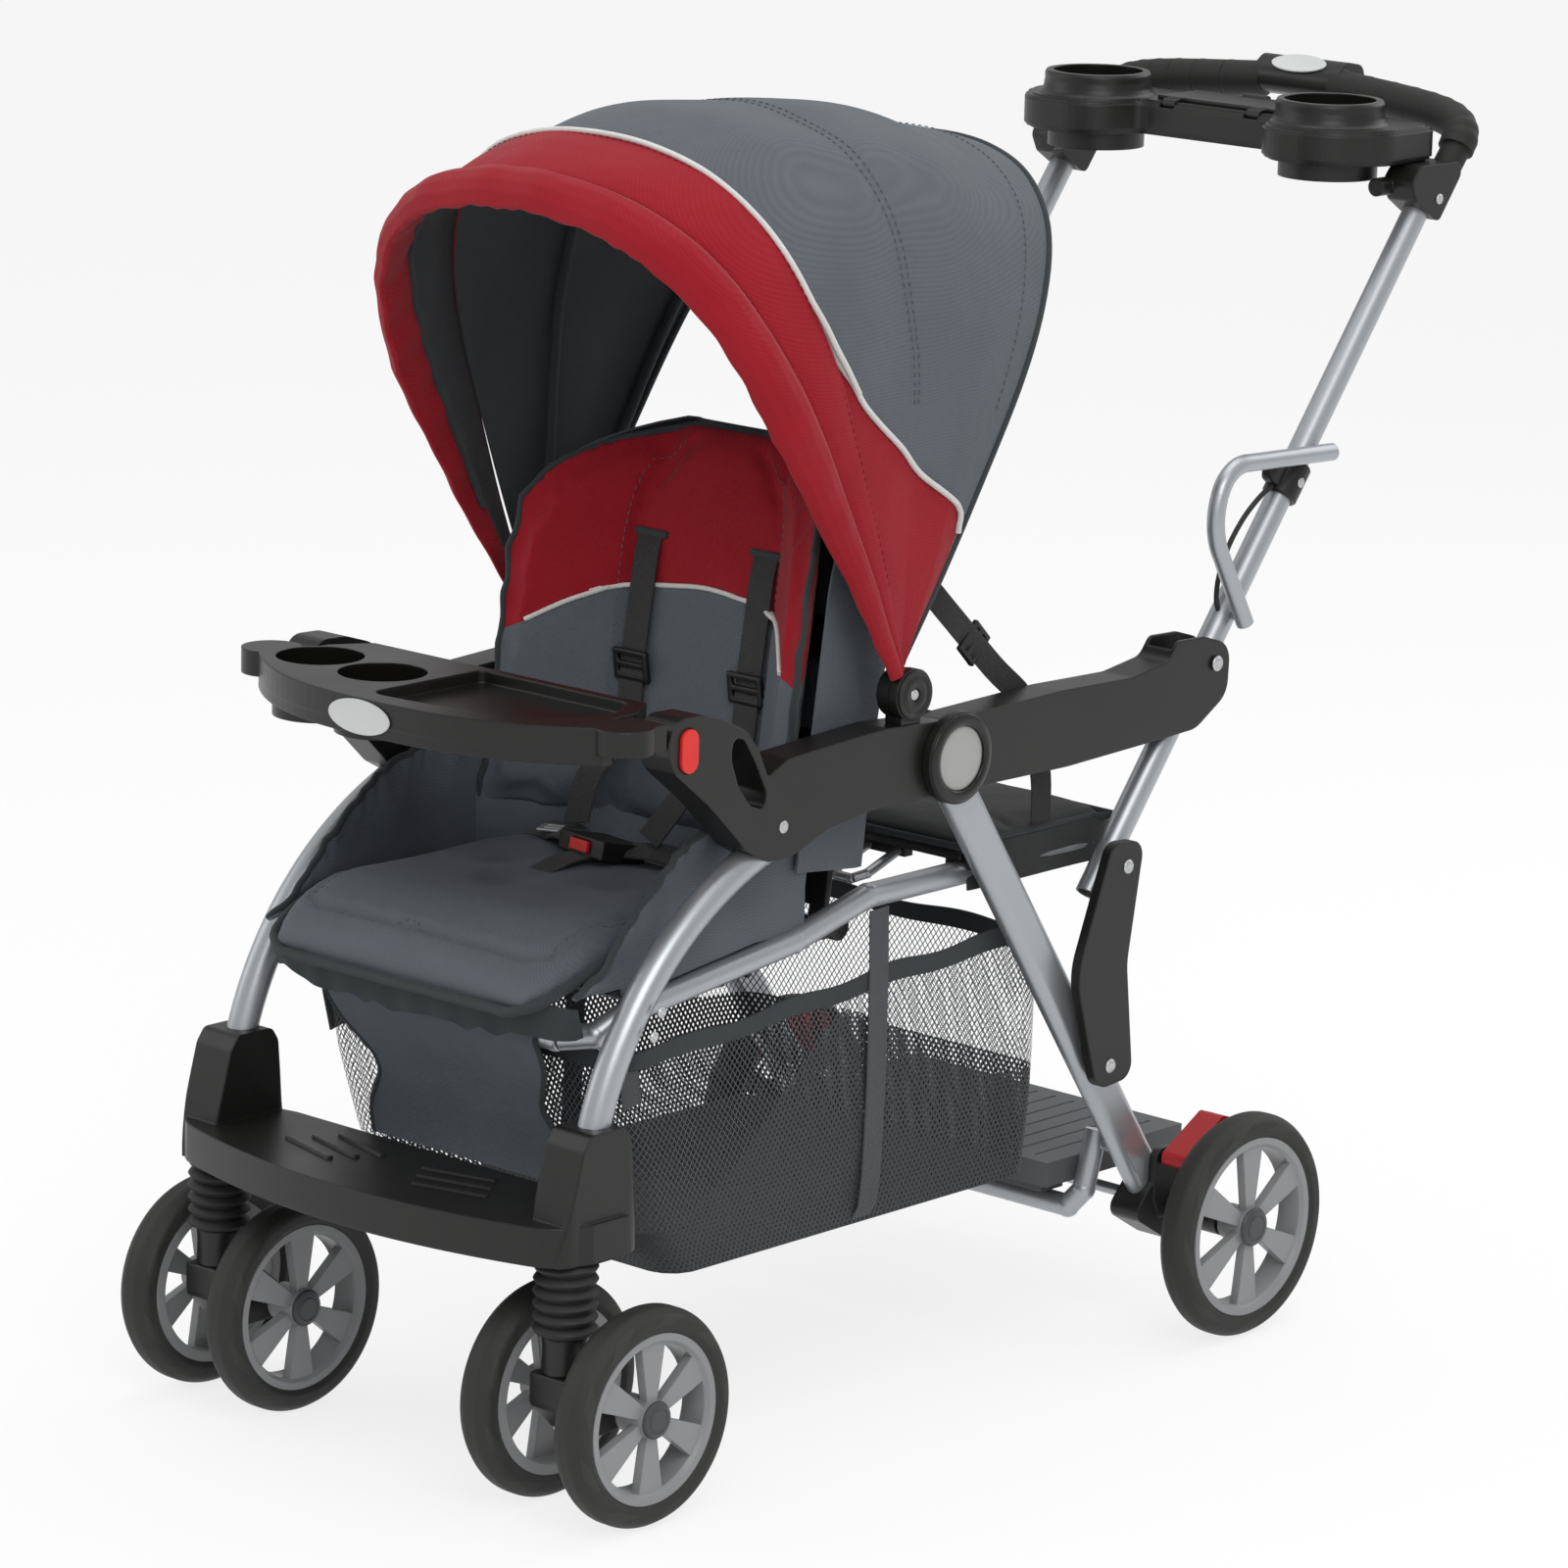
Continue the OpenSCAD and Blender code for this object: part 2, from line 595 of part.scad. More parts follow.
module rim(r, w) {
  rotate([0, 90, 0]) difference() {
    union() {
      rotate_extrude($fn = 96) polygon([[r - 9, -w * 0.42], [r - 0.1, -w * 0.42], [r - 0.1, w * 0.42],
        [r - 6, w * 0.42], [r - 9, w * 0.3]]);
      translate([0, 0, -w * 0.44]) cylinder(r = 15, h = w * 0.88);
      for (i = [0 : spokes - 1]) rotate([0, 0, i * 360 / spokes]) translate([0, 0, w * 0.06])
        linear_extrude(w * 0.26) polygon([[12, -5], [r - 8, -13], [r - 8, 13], [12, 5]]);
    }
    translate([0, 0, -w]) cylinder(r = axle_d / 2 + run_fit, h = w * 1.4);
  }
}

module front_wheel_at(s) {
  place() translate([strut[0] + s * twin_pitch / 2, axle_y, front_r]) children();
}

module tyre_front_left_outer() {
  color(black) front_wheel_at(1) tyre(front_r, front_w);
}

module tyre_front_left_inner() {
  color(black) front_wheel_at(-1) tyre(front_r, front_w);
}

module tyre_front_right_outer() {
  mirror([1, 0, 0]) tyre_front_left_outer();
}

module tyre_front_right_inner() {
  mirror([1, 0, 0]) tyre_front_left_inner();
}

module rim_front_left_outer() {
  color(silver) front_wheel_at(1) rim(rim_front, front_w);
}

module rim_front_left_inner() {
  color(silver) front_wheel_at(-1) mirror([1, 0, 0]) rim(rim_front, front_w);
}

module rim_front_right_outer() {
  mirror([1, 0, 0]) rim_front_left_outer();
}

module rim_front_right_inner() {
  mirror([1, 0, 0]) rim_front_left_inner();
}

module leg_place() {
  translate([frame_x, mm[0], mm[1]]) rotate([90 + leg_ang + 180, 0, 0]) children();
}

module leg_section(g) {
  w = rear_leg_w / 2 - rear_leg_t / 2;
  translate([-rear_leg_t / 2 - g, -w]) square([rear_leg_t + 2 * g, 2 * w]);
  for (s = [-1, 1]) translate([0, s * w]) circle(r = rear_leg_t / 2 + g);
}

module rear_legs() {
  color(silver) place() both() difference() {
    union() {
      leg_place() linear_extrude(leg_len) leg_section(0);
      xrod(frame_x - rear_leg_t / 2, frame_x + rear_leg_t / 2, mm, rear_leg_w / 2);
    }
    leg_place() translate([0, 0, 26]) linear_extrude(leg_len - 205) leg_section(-tube_wall);
    leg_place() translate([0, 0, 372]) linear_extrude(leg_len) leg_section(-tube_wall);
    xrod(frame_x - 20, frame_x + 20, mm, pivot_d / 2 + run_fit);
    xrod(frame_x - 20, frame_x + 20, ll, pin_d / 2 + run_fit);
  }
}

module rear_brackets() {
  color(black) place() both() {
    difference() {
      union() {
        across(frame_x - 15, frame_x + 15) shape([[-82, 106, 10], [-44, 146, 10], [-14, 122, 10],
            [17, 112, 12], [17, 78, 12], [-36, 78, 16]]);
        xrod(frame_x + 10, rear_in - 2, [0, rear_r], 14);
        across(frame_x + 10, frame_x + 17) shape([[-58, 118, 4], [-57, 160, 9], [-34, 160, 9],
            [-6, 118, 6], [-6, 100, 4], [-50, 100, 4]]);
        xrod(frame_x + 12, rear_in - 3.4, pedal, pin_d / 2);
      }
      leg_place() translate([0, 0, 440]) linear_extrude(leg_len - 440 + seat_gap) leg_section(run_fit);
      xrod(frame_x - 40, rear_in + 2, [0, rear_r], axle_d / 2 + run_fit);
    }
  }
}

module rear_axle() {
  color(silver) place() {
    xrod(-rear_in - rear_w + 3, rear_in + rear_w - 3, [0, rear_r], axle_d / 2);
    path([[-163, -78, 172], [-161, -90, 122], [-148, -94, 106], [148, -94, 106], [161, -90, 122],
      [163, -78, 172]], 9.5);
    both() xrod(171, frame_x - rear_leg_t / 2 - 0.2, [-79.5, 160], 3.5);
  }
}

module standing_platform() {
  color(grey) place() difference() {
    union() {
      translate([-150, -126, 128]) cube([300, 178, 21]);
      both() across(142, 150) shape([[-16, 136, 2], [-14, 84, 8], [14, 84, 8], [16, 136, 2]]);
      both() translate([60, -108, 116]) cube([70, 28, 14]);
    }
    translate([-146, -122, 120]) cube([292, 38, 25]);
    translate([-146, -78, 120]) cube([292, 126, 25]);
    xrod(-160, 160, [0, rear_r], axle_d / 2 + run_fit);
    for (i = [-6 : 6]) translate([i * 21 - 1.5, -112, 148]) cube([3, 150, 2]);
  }
  color(black) place() both() translate([60, -108, 116]) cube([70, 24, 12]);
}

module brake_body() {
  difference() {
    union() {
      across(frame_x + 21, rear_in - 3.4) {
        shape([[-56, 143, 6], [-55, 158, 6], [-6, 186, 5], [12, 180, 4], [12, 172, 3]]);
      }
      across(frame_x + 30, frame_x + 36) shape([[-24, 158, 2], [2, 176, 2], [6, 132, 4], [-8, 132, 4]]);
    }
    xrod(frame_x, rear_in, pedal, pin_d / 2 + run_fit);
  }
}

module brake_left() {
  color(signal) place() brake_body();
}

module brake_right() {
  color(signal) place() mirror([1, 0, 0]) brake_body();
}

module rear_wheel_at() {
  place() translate([rear_in + rear_w / 2, 0, rear_r]) children();
}

module tyre_rear_left() {
  color(black) rear_wheel_at() tyre(rear_r, rear_w);
}

module tyre_rear_right() {
  mirror([1, 0, 0]) tyre_rear_left();
}

module rim_rear_left() {
  color(silver) rear_wheel_at() rim(rim_rear, rear_w);
}

module rim_rear_right() {
  mirror([1, 0, 0]) rim_rear_left();
}

module rear_arms() {
  color(black) place() both() difference() {
    union() {
      across(arm_in, arm_out) shape([[-330, 508, 1], [-190, 507, 60], [-90, 511, 60], [-26, 514, 30],
        [14, 538, 22], [16, 580, 20], [-18, 590, 12], [-52, 591, 8], [-64, 576, 16], [-110, 569, 40],
        [-200, 571, 60], [-330, 567, 1]], 8);
      xrod(arm_in, arm_out, mm, 30);
    }
    across(fork_in, fork_out) polygon([[-400, 470], [60, 470], [60, 640], [-57, 640], [-57, 560],
        [-400, 560]]);
    xrod(arm_in - 1, arm_out + 1, mm, pivot_d / 2 + run_fit);
    xrod(arm_in - 1, arm_out + 1, aa, pin_d / 2 + run_fit);
  }
}

module fold_links() {
  color(black) place() both() {
    across(arm_out + 1, arm_out + 10) shape([[ll[0] - 16, ll[1] - 18, 16], [ll[0] - 47, ll[1] + 82, 60],
      [hh[0] - 20, hh[1] + 22, 14], [hh[0] + 20, hh[1] + 20, 14], [ll[0] + 17, ll[1] + 84, 60],
      [ll[0] + 29, ll[1] - 14, 14]], 8);
    xrod(frame_x - rear_leg_t / 2 - 2, arm_out + 2, ll, pin_d / 2);
    xrod(frame_x + handle_d / 2 + seat_gap, arm_out + 2, hh, pin_d / 2);
  }
}

tube_low = aa - 222 * tube_dir;
tube_top = aa + 462 * tube_dir;

module handle_tubes() {
  color(silver) place() both() {
    difference() {
      rod([frame_x, tube_low[0], tube_low[1]], [frame_x, tube_top[0], tube_top[1]], handle_d / 2);
      rod([frame_x, tube_low[0] - 3, tube_low[1] - 4], [frame_x, aa[0] - 14, aa[1] - 18],
          handle_d / 2 - tube_wall);
      rod([frame_x, aa[0] + 12, aa[1] + 16], [frame_x, tube_top[0] + 3, tube_top[1] + 4],
          handle_d / 2 - tube_wall);
    }
    xrod(arm_in - 2, arm_out + 2, aa, pin_d / 2);
  }
}

grip_a = [296, 938];
grip_b = [325, 973];

module handle_brackets() {
  color(black) place() both() difference() {
    union() {
      across(frame_x - 16, frame_x + 15) shape([[246, 926, 6], [277, 906, 6], [307, 945, 9],
        [303, 955.7, 5], [250, 955.7, 8], [238, 942, 8]]);
      translate([frame_x - 14, 226, 937]) rotate([-90, 0, 0]) cylinder(r = 7.8, h = 40);
    }
    rod([frame_x, tube_top[0] - 60, tube_top[1] - 78.2], [frame_x, tube_top[0] + 0.3, tube_top[1] + 0.4],
      handle_d / 2 + run_fit);
    rod([frame_x, grip_a[0] - 0.2, grip_a[1] - 0.2], [frame_x, grip_b[0] + 5, grip_b[1] + 6],
        grip_r + run_fit);
  }
}

module handle_grip() {
  a = [frame_x, 317, 963.4];
  b = [frame_x, 340, 991];
  c = [frame_x - 29, 336, 990];
  d = [40, 352, 998];
  p = [for (i = [0 : 10]) let (t = i / 10, k = 1 - t)
    k * k * k * a + 3 * k * k * t * b + 3 * k * t * t * c + t * t * t * d];
  color(black) place() difference() {
    union() {
      both() rod([frame_x, grip_a[0], grip_a[1]], a, grip_r);
      both() path(p, hand_r, 1.02);
      across(-46, 46) shape([[338, 990, 10], [338, 1008, 12], [356, 1020, 12], [378, 1016, 10],
          [384, 994, 10], [362, 984, 12]]);
    }
    translate([-14 - button_gap, 374.5, 998 - button_gap]) cube([28 + 2 * button_gap, 30,
        12 + 2 * button_gap]);
  }
}

module fold_button() {
  color(signal) place() translate([-14, 380, 998]) cube([28, 8.5, 12]);
}

// outline of the tray from above, drawn in by i
module tray_plan(i) {
  shape([[72 + i, 222 + i, 12], [92 + i, 172 + i, 40], [162 - i, 170 + i, 46], [197 - i, 216 + i, 40],
    [194 - i, 297 - i, 24], [150, 301 - i, 30], [-150, 301 - i, 30], [i - 194, 297 - i, 24],
    [i - 197, 216 + i, 40], [i - 162, 170 + i, 46], [-92 - i, 172 + i, 40], [-72 - i, 222 + i, 12]], 8);
}

module parent_tray() {
  c = [127, 228];
  color(black) place() difference() {
    union() {
      translate([0, 0, 956]) linear_extrude(1.8) tray_plan(4);
      translate([0, 0, 957.7]) linear_extrude(2.3) tray_plan(1.4);
      translate([0, 0, 959.9]) linear_extrude(22.1) tray_plan(0);
      translate([0, 0, 981.9]) linear_extrude(2.4) tray_plan(1.6);
      translate([0, 0, 984.2]) linear_extrude(1.8) tray_plan(4.6);
      both() translate([c[0], c[1], 0]) {
        rotate_extrude() polygon([[30, 980], [51, 980], [51, 986.4], [48.5, 988.5], [47, 992], [46, 998],
          [46, 1003.5], [44.5, 1006], [30, 1006]]);
        translate([0, 0, 941]) cylinder(r = cup_r + 3, h = 16);
      }
    }
    both() translate([c[0], c[1], 944]) cylinder(r = cup_r, h = 90);
    translate([-64, 238, 966]) cube([128, 50, 40]);
    for (x = [-46, 46]) xrod(x - 8, x + 8, lid_axis, 5.4);
    for (x = [-46, 46]) translate([x - 8, 210, 981]) cube([16, 20, 20]);
    both() rod([frame_x, grip_a[0], grip_a[1]], [frame_x, grip_b[0], grip_b[1]], grip_r + 2.5);
    both() rod([frame_x, 317, 963.4], [frame_x - 6, 333, 983], hand_r + 1.5);
  }
  color(silver) place() for (x = [-46, 46]) xrod(x - 9, x + 9, lid_axis, 1.8);
}

module tray_lid() {
  color(black) place() difference() {
    union() {
      translate([-66, 236, 986.3]) cube([132, 55, 3.4]);
      for (x = [-46, 46]) {
        xrod(x - 7, x + 7, lid_axis, 4.6);
        translate([x - 7, lid_axis[0] + 1, 986.3]) cube([14, 8, 3]);
      }
      translate([-13, 289, 988]) rotate([0, 90, 0]) cylinder(r = 4.5, h = 26);
    }
    for (x = [-46, 46]) xrod(x - 8, x + 8, lid_axis, 1.8 + run_fit);
    translate([-20, 280, 970]) cube([40, 30, 16.3]);
  }
}

module grab_bars() {
  g = frame_x + 24;
  color(silver) place() both() {
    bent(g, [[132, 728], [-8, 732.5, 34], [-25, 682, 56], [24, 597]], 7.5);
    xrod(frame_x + handle_d / 2 + 0.2, g - 5, aa + [0.767 * 162, 162], 4);
    xrod(frame_x + handle_d / 2 + 0.2, g - 5, aa + [0.767 * 36, 36], 4);
  }
}

front_legs();
footrest();
front_arms();
pivot_covers();
pivot_pins();
seat_rails();
seat_deck();
seat_pad();
seat_wings();
calf_panel();
rear_seat();
rear_seat_pad();
basket();
canopy_rear();
canopy_clamps();
harness_buckle();
buckle_button();
lap_straps();
back_board();
seat_back_pad();
shoulder_straps();
canopy_mid();
canopy_visor();
child_tray();
tray_button_left();
tray_button_right();
strut_left();
strut_right();
boot_left();
boot_right();
caster_left();
caster_right();
tyre_front_left_outer();
tyre_front_left_inner();
tyre_front_right_outer();
tyre_front_right_inner();
rim_front_left_outer();
rim_front_left_inner();
rim_front_right_outer();
rim_front_right_inner();
rear_legs();
rear_brackets();
rear_axle();
standing_platform();
brake_left();
brake_right();
tyre_rear_left();
tyre_rear_right();
rim_rear_left();
rim_rear_right();
rear_arms();
fold_links();
handle_tubes();
handle_brackets();
handle_grip();
parent_tray();
tray_lid();
fold_button();
grab_bars();
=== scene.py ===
import math

import bmesh
import bpy
import numpy as np
from mathutils import Matrix, Vector
from mathutils.bvhtree import BVHTree


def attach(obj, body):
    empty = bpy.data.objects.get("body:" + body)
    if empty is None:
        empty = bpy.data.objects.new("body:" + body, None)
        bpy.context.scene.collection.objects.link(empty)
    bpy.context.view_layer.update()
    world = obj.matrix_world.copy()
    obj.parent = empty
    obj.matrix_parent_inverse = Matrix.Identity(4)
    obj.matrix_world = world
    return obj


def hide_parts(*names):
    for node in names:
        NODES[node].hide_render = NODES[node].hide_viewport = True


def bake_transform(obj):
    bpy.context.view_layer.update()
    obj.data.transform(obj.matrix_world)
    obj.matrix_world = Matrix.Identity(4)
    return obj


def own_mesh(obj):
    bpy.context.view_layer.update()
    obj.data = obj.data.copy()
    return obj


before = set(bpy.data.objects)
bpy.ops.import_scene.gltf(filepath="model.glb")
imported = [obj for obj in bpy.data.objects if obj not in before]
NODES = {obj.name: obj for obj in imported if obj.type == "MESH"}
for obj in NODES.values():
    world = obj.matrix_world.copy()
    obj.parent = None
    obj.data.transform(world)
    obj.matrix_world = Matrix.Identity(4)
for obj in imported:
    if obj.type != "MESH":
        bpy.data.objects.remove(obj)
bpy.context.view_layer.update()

bl_info = {
    "name": "Sit-and-stand stroller dressing",
    "version": (1, 0, 0),
    "blender": (4, 5, 0),
    "location": "View3D > Sidebar > Stroller",
    "description": "Fabric, harness, trim and finishes for the packed stroller frame",
    "category": "Object",
}

MAT = {}
SIDES = (("left", 1), ("right", -1))

# distance of the rear axle behind the middle of the box, metres
Y_SHIFT = 0.20875
# places as y and z in millimetres from the rear axle
KNOB_AT, PIVOT_AT, ARM_END, CLIP_AT = (-382, 594), (-332, 537), (-3.0, 566.0), (102.9, 704.0)
KNOB = (-0.382 + Y_SHIFT, 0.594)
# direction of the handle tubes as y and z
TUBE = (0.6087, 0.7934)
# the links' pins: millimetres down the handle tube from its pivot, and along the rear leg from the main pivot
LINK_DOWN, LINK_ALONG, LEG_END = 191, 350, (-35, 106)
# top edge of the net's lower part, painted darker as shade and drawn denser: millimetres from the rear axle,
# height
SHADED_NET_LINE = [(-668, 186), (-600, 192), (-525, 228), (-450, 296), (-403, 336), (-352, 318), (-295, 276),
             (-215, 246), (-128, 240)]
# colour edge of the canopy: reach from the knobs in metres, angle in degrees
PIPING_LINE = [(0.0, 56.0), (0.148, 60.0), (0.171, 85.0), (0.207, 97.3), (0.239, 103.5), (0.282, 107.4),
               (0.33, 108.6), (0.5, 108.6)]
# colour edge of the backrest: height, curve across, and drop ahead of a place
BACK_LINE_Z, BACK_LINE_CURVE, BACK_LINE_Y, BACK_LINE_DROP = 0.648, 1.3, -0.42 + Y_SHIFT, 0.35


def length_of(name, text, value, low, high):
    return bpy.props.FloatProperty(name=name, description=text, default=value, min=low, max=high,
                                   unit="LENGTH")


def colour_of(name, text, value):
    return bpy.props.FloatVectorProperty(name=name, description=text, subtype="COLOR", size=3, default=value,
                                         min=0, max=1)


class StrollerSizes(bpy.types.PropertyGroup):
    """Sizes of the soft pieces."""
    canopy_reach: length_of("Canopy reach", "Distance from the knobs to the canopy fabric", 0.440, 0.42, 0.45)
    roll_width: length_of("Visor roll width", "Width of the padded roll on the visor", 0.043, 0.03, 0.05)
    piping: length_of("Piping", "Radius of the white piping", 0.0024, 0.001, 0.004)
    webbing: length_of("Webbing", "Width of the harness webbing", 0.025, 0.02, 0.03)
    swell: length_of("Pad swell", "Most that a pad's cover may puff out", 0.007, 0.002, 0.016)


class StrollerColours(bpy.types.PropertyGroup):
    """Colours of the fabric, mouldings and metal."""
    red_cloth: colour_of("Red fabric", "Fabric of the visor and the headrest", (0.292, 0.0065, 0.0150))
    grey_cloth: colour_of("Grey fabric", "Fabric of the canopy and the seat", (0.098, 0.112, 0.128))
    black_plastic: colour_of("Black mouldings", "Arms, trays and brackets", (0.0092, 0.0086, 0.0080))
    silver: colour_of("Silver tube", "Painted frame tubes", (0.43, 0.45, 0.47))
    signal: colour_of("Signal red", "Buttons and pedals", (0.62, 0.018, 0.014))


def sizes():
    return bpy.context.scene.stroller_sizes


def colours():
    return bpy.context.scene.stroller_colours


# finishes

class Val:
    """A shader value; arithmetic on it adds Math nodes."""

    def __init__(self, finish, socket):
        self.finish, self.socket = finish, socket

    def math(self, op, a, b=0.0):
        return self.finish.node("ShaderNodeMath", {"operation": op}, {0: a, 1: b}).out()

    def __radd__(self, o):
        return self.math("ADD", o, self)

    def __rsub__(self, o):
        return self.math("SUBTRACT", o, self)


for method, operation in (("__add__", "ADD"), ("__sub__", "SUBTRACT"), ("__mul__", "MULTIPLY"),
                          ("__truediv__", "DIVIDE"), ("__pow__", "POWER"), ("__gt__", "GREATER_THAN"),
                          ("__lt__", "LESS_THAN"), ("sin", "SINE"), ("abs", "ABSOLUTE"), ("max", "MAXIMUM"),
                          ("min", "MINIMUM")):
    setattr(Val, method, lambda self, o=0.0, op=operation: self.math(op, self, o))


class Made:
    """A node just made, read by the name of its output."""

    def __init__(self, finish, node):
        self.finish, self.it = finish, node

    def out(self, name=0):
        return Val(self.finish, self.it.outputs[name])


class Finish:
    """One procedural material with a single Principled shader."""

    def __init__(self, name, **fixed):
        self.mat = bpy.data.materials.new(name)
        self.mat.use_nodes = True
        self.tree = self.mat.node_tree
        self.bsdf = self.tree.nodes["Principled BSDF"]
        for key, value in fixed.items():
            socket = self.bsdf.inputs[key.replace("_", " ")]
            socket.default_value = (*value, 1.0) if hasattr(value, "__len__") else value

    def node(self, kind, settings=None, inputs=None):
        n = self.tree.nodes.new(kind)
        for key, value in (settings or {}).items():
            if key == "stops":
                ramp = n.color_ramp.elements
                ramp[0].position, ramp[1].position = value[0][0], value[-1][0]
                for p, _ in value[1:-1]:
                    ramp.new(p)
                for stop, (p, c) in zip(ramp, value):
                    stop.position, stop.color = p, (c, c, c, 1)
            else:
                setattr(n, key, value)
        for key, value in (inputs or {}).items():
            if isinstance(value, Val):
                self.tree.links.new(value.socket, n.inputs[key])
            else:
                n.inputs[key].default_value = value
        return Made(self, n)

    def feed(self, name, value):
        self.tree.links.new(value.socket, self.bsdf.inputs[name])

    def place(self):
        at = self.node("ShaderNodeTexCoord").out("Object")
        return at, self.node("ShaderNodeSeparateXYZ", None, {0: at})

    def map(self):
        uv = self.node("ShaderNodeTexCoord").out("UV")
        return self.node("ShaderNodeSeparateXYZ", None, {0: uv})

    def noise(self, at, scale, detail=3.0):
        inputs = {"Vector": at, "Scale": scale, "Detail": detail}
        return self.node("ShaderNodeTexNoise", None, inputs).out("Fac")

    def mix(self, factor, a, b):
        made = self.node("ShaderNodeMix", {"data_type": "RGBA"}, {0: factor})
        for key, value in ((6, a), (7, b)):
            if isinstance(value, Val):
                self.tree.links.new(value.socket, made.it.inputs[key])
            else:
                made.it.inputs[key].default_value = (*value, 1.0)
        return made.out(2)

    def bump(self, height, distance, normal=None):
        inputs = {"Height": height, "Distance": distance, "Strength": 1.0}
        if normal is not None:
            inputs["Normal"] = normal
        return self.node("ShaderNodeBump", None, inputs).out("Normal")

    def soft_edge(self, radius):
        return self.node("ShaderNodeBevel", {"samples": 6}, {"Radius": radius}).out("Normal")


def shade(colour, k):
    return tuple(min(1.0, c * k) for c in colour)


def weave(xyz, pitch):
    k = 2 * math.pi / pitch
    x, y, z = (xyz.out(n) for n in ("X", "Y", "Z"))
    return ((x + y * 0.8) * k).sin() * ((z - y * 0.8) * k).sin()


def cloth(name, colour, pitch=0.0026, rough=0.82, tint=None):
    """Woven polyester: threads, slight shade changes and soft wrinkles."""
    f = Finish(name, Roughness=rough, Sheen_Weight=0.07, Sheen_Roughness=0.5, Specular_IOR_Level=0.2)
    at, xyz = f.place()
    threads = weave(xyz, pitch)
    slow = f.noise(at, 14.0, 4.0)
    base = f.mix(threads * 0.5 + 0.5, shade(colour, 0.88), shade(colour, 1.12))
    base = f.mix((slow - 0.35) * 0.55, base, shade(colour, 0.68))
    if tint:
        base = tint(f, xyz, base, threads, slow)
    f.feed("Base Color", base)
    f.feed("Roughness", rough - 0.12 + slow * 0.24)
    creases = f.noise(at, 34.0, 5.0)
    f.feed("Normal", f.bump(threads * 0.00016 + creases * 0.0016, 1.0))
    return f.mat


def two_tone(limit):
    """Changes a cloth to the red colour where limit gives 1."""
    red = tuple(colours().red_cloth)

    def tint(f, xyz, base, threads, slow):
        warm = f.mix(threads * 0.5 + 0.5, shade(red, 0.88), shade(red, 1.12))
        warm = f.mix((slow - 0.35) * 0.5, warm, shade(red, 0.66))
        return f.mix(limit(f, xyz), base, warm)
    return tint


def canopy_red(f, xyz):
    """1 ahead of the canopy's colour edge."""
    xy = f.map()
    edge = f.node("ShaderNodeValToRGB", {"stops": [(q / 0.5, a / 180.0) for q, a in PIPING_LINE]},
                  {0: xy.out("Y") * 2.0})
    return xy.out("X") > edge.out()


def back_red(f, xyz):
    """1 above the backrest's colour edge."""
    x, y, z = (xyz.out(n) for n in ("X", "Y", "Z"))
    drop = (BACK_LINE_Y - y).max(0.0)
    return z > BACK_LINE_Z - x * x * BACK_LINE_CURVE - drop * BACK_LINE_DROP


def moulding(name, colour, rough=0.36, grain=0.00012, edge=0.0012, scale=900.0):
    """Moulded plastic: fine grain, a rubbed lighter look and soft edges."""
    f = Finish(name, Roughness=rough, Specular_IOR_Level=0.4)
    at, _ = f.place()
    fine = f.noise(at, scale, 2.0)
    slow = f.noise(at, 9.0, 4.0)
    f.feed("Base Color", f.mix((slow - 0.3) * 0.5, colour, shade(colour, 1.5)))
    f.feed("Roughness", rough - 0.09 + slow * 0.2)
    f.feed("Normal", f.bump(fine, grain, f.soft_edge(edge)))
    return f.mat


def painted_tube(name, colour):
    """Silver painted tube: fine metallic flake and light handling marks."""
    f = Finish(name, Metallic=0.75, Roughness=0.36, Coat_Weight=0.15, Coat_Roughness=0.25)
    at, _ = f.place()
    flake = f.noise(at, 2600.0, 1.0)
    slow = f.noise(at, 11.0, 5.0)
    f.feed("Base Color", f.mix((flake - 0.3) * 0.6, shade(colour, 0.9), shade(colour, 1.12)))
    f.feed("Roughness", 0.27 + slow * 0.2)
    f.feed("Normal", f.bump(flake, 0.00003, f.soft_edge(0.0008)))
    return f.mat


def webbing_cloth(name, colour):
    """Narrow woven strap: diagonal ribs across the webbing."""
    f = Finish(name, Roughness=0.72, Sheen_Weight=0.15)
    at, xyz = f.place()
    k = 2 * math.pi / 0.0022
    ribs = ((xyz.out("X") + xyz.out("Z") + xyz.out("Y")) * k).sin()
    slow = f.noise(at, 40.0, 3.0)
    f.feed("Base Color", f.mix(ribs * 0.5 + 0.5, shade(colour, 0.7), shade(colour, 1.5)))
    f.feed("Roughness", 0.6 + slow * 0.25)
    f.feed("Normal", f.bump(ribs, 0.0003))
    return f.mat


def tyre_rubber(name, y, z, radius):
    """Foam tyre: matt rubber with shallow relief on the side wall and a fine tread."""
    f = Finish(name, Roughness=0.62, Specular_IOR_Level=0.35)
    at, xyz = f.place()
    dy, dz = xyz.out("Y") - y, xyz.out("Z") - z
    turn = f.node("ShaderNodeMath", {"operation": "ARCTAN2"}, {0: dz, 1: dy}).out()
    reach = (dy * dy + dz * dz) ** 0.5
    wall = (reach > radius - 0.013) * (reach < radius - 0.0045)
    dash = ((turn * 9.0 + reach * 260.0).sin() > 0.35) * wall
    tread = (reach > radius - 0.003) * ((turn * 60.0).sin() > 0.2)
    slow = f.noise(at, 22.0, 4.0)
    f.feed("Base Color", f.mix((slow - 0.3) * 0.6 + dash * 0.3, (0.021, 0.021, 0.020), (0.050, 0.048, 0.045)))
    f.feed("Roughness", 0.5 + slow * 0.22)
    fine = f.noise(at, 700.0, 2.0)
    f.feed("Normal", f.bump(dash * 0.0015 + tread * 0.0006 + fine * 0.00012, 1.0, f.soft_edge(0.0008)))
    return f.mat


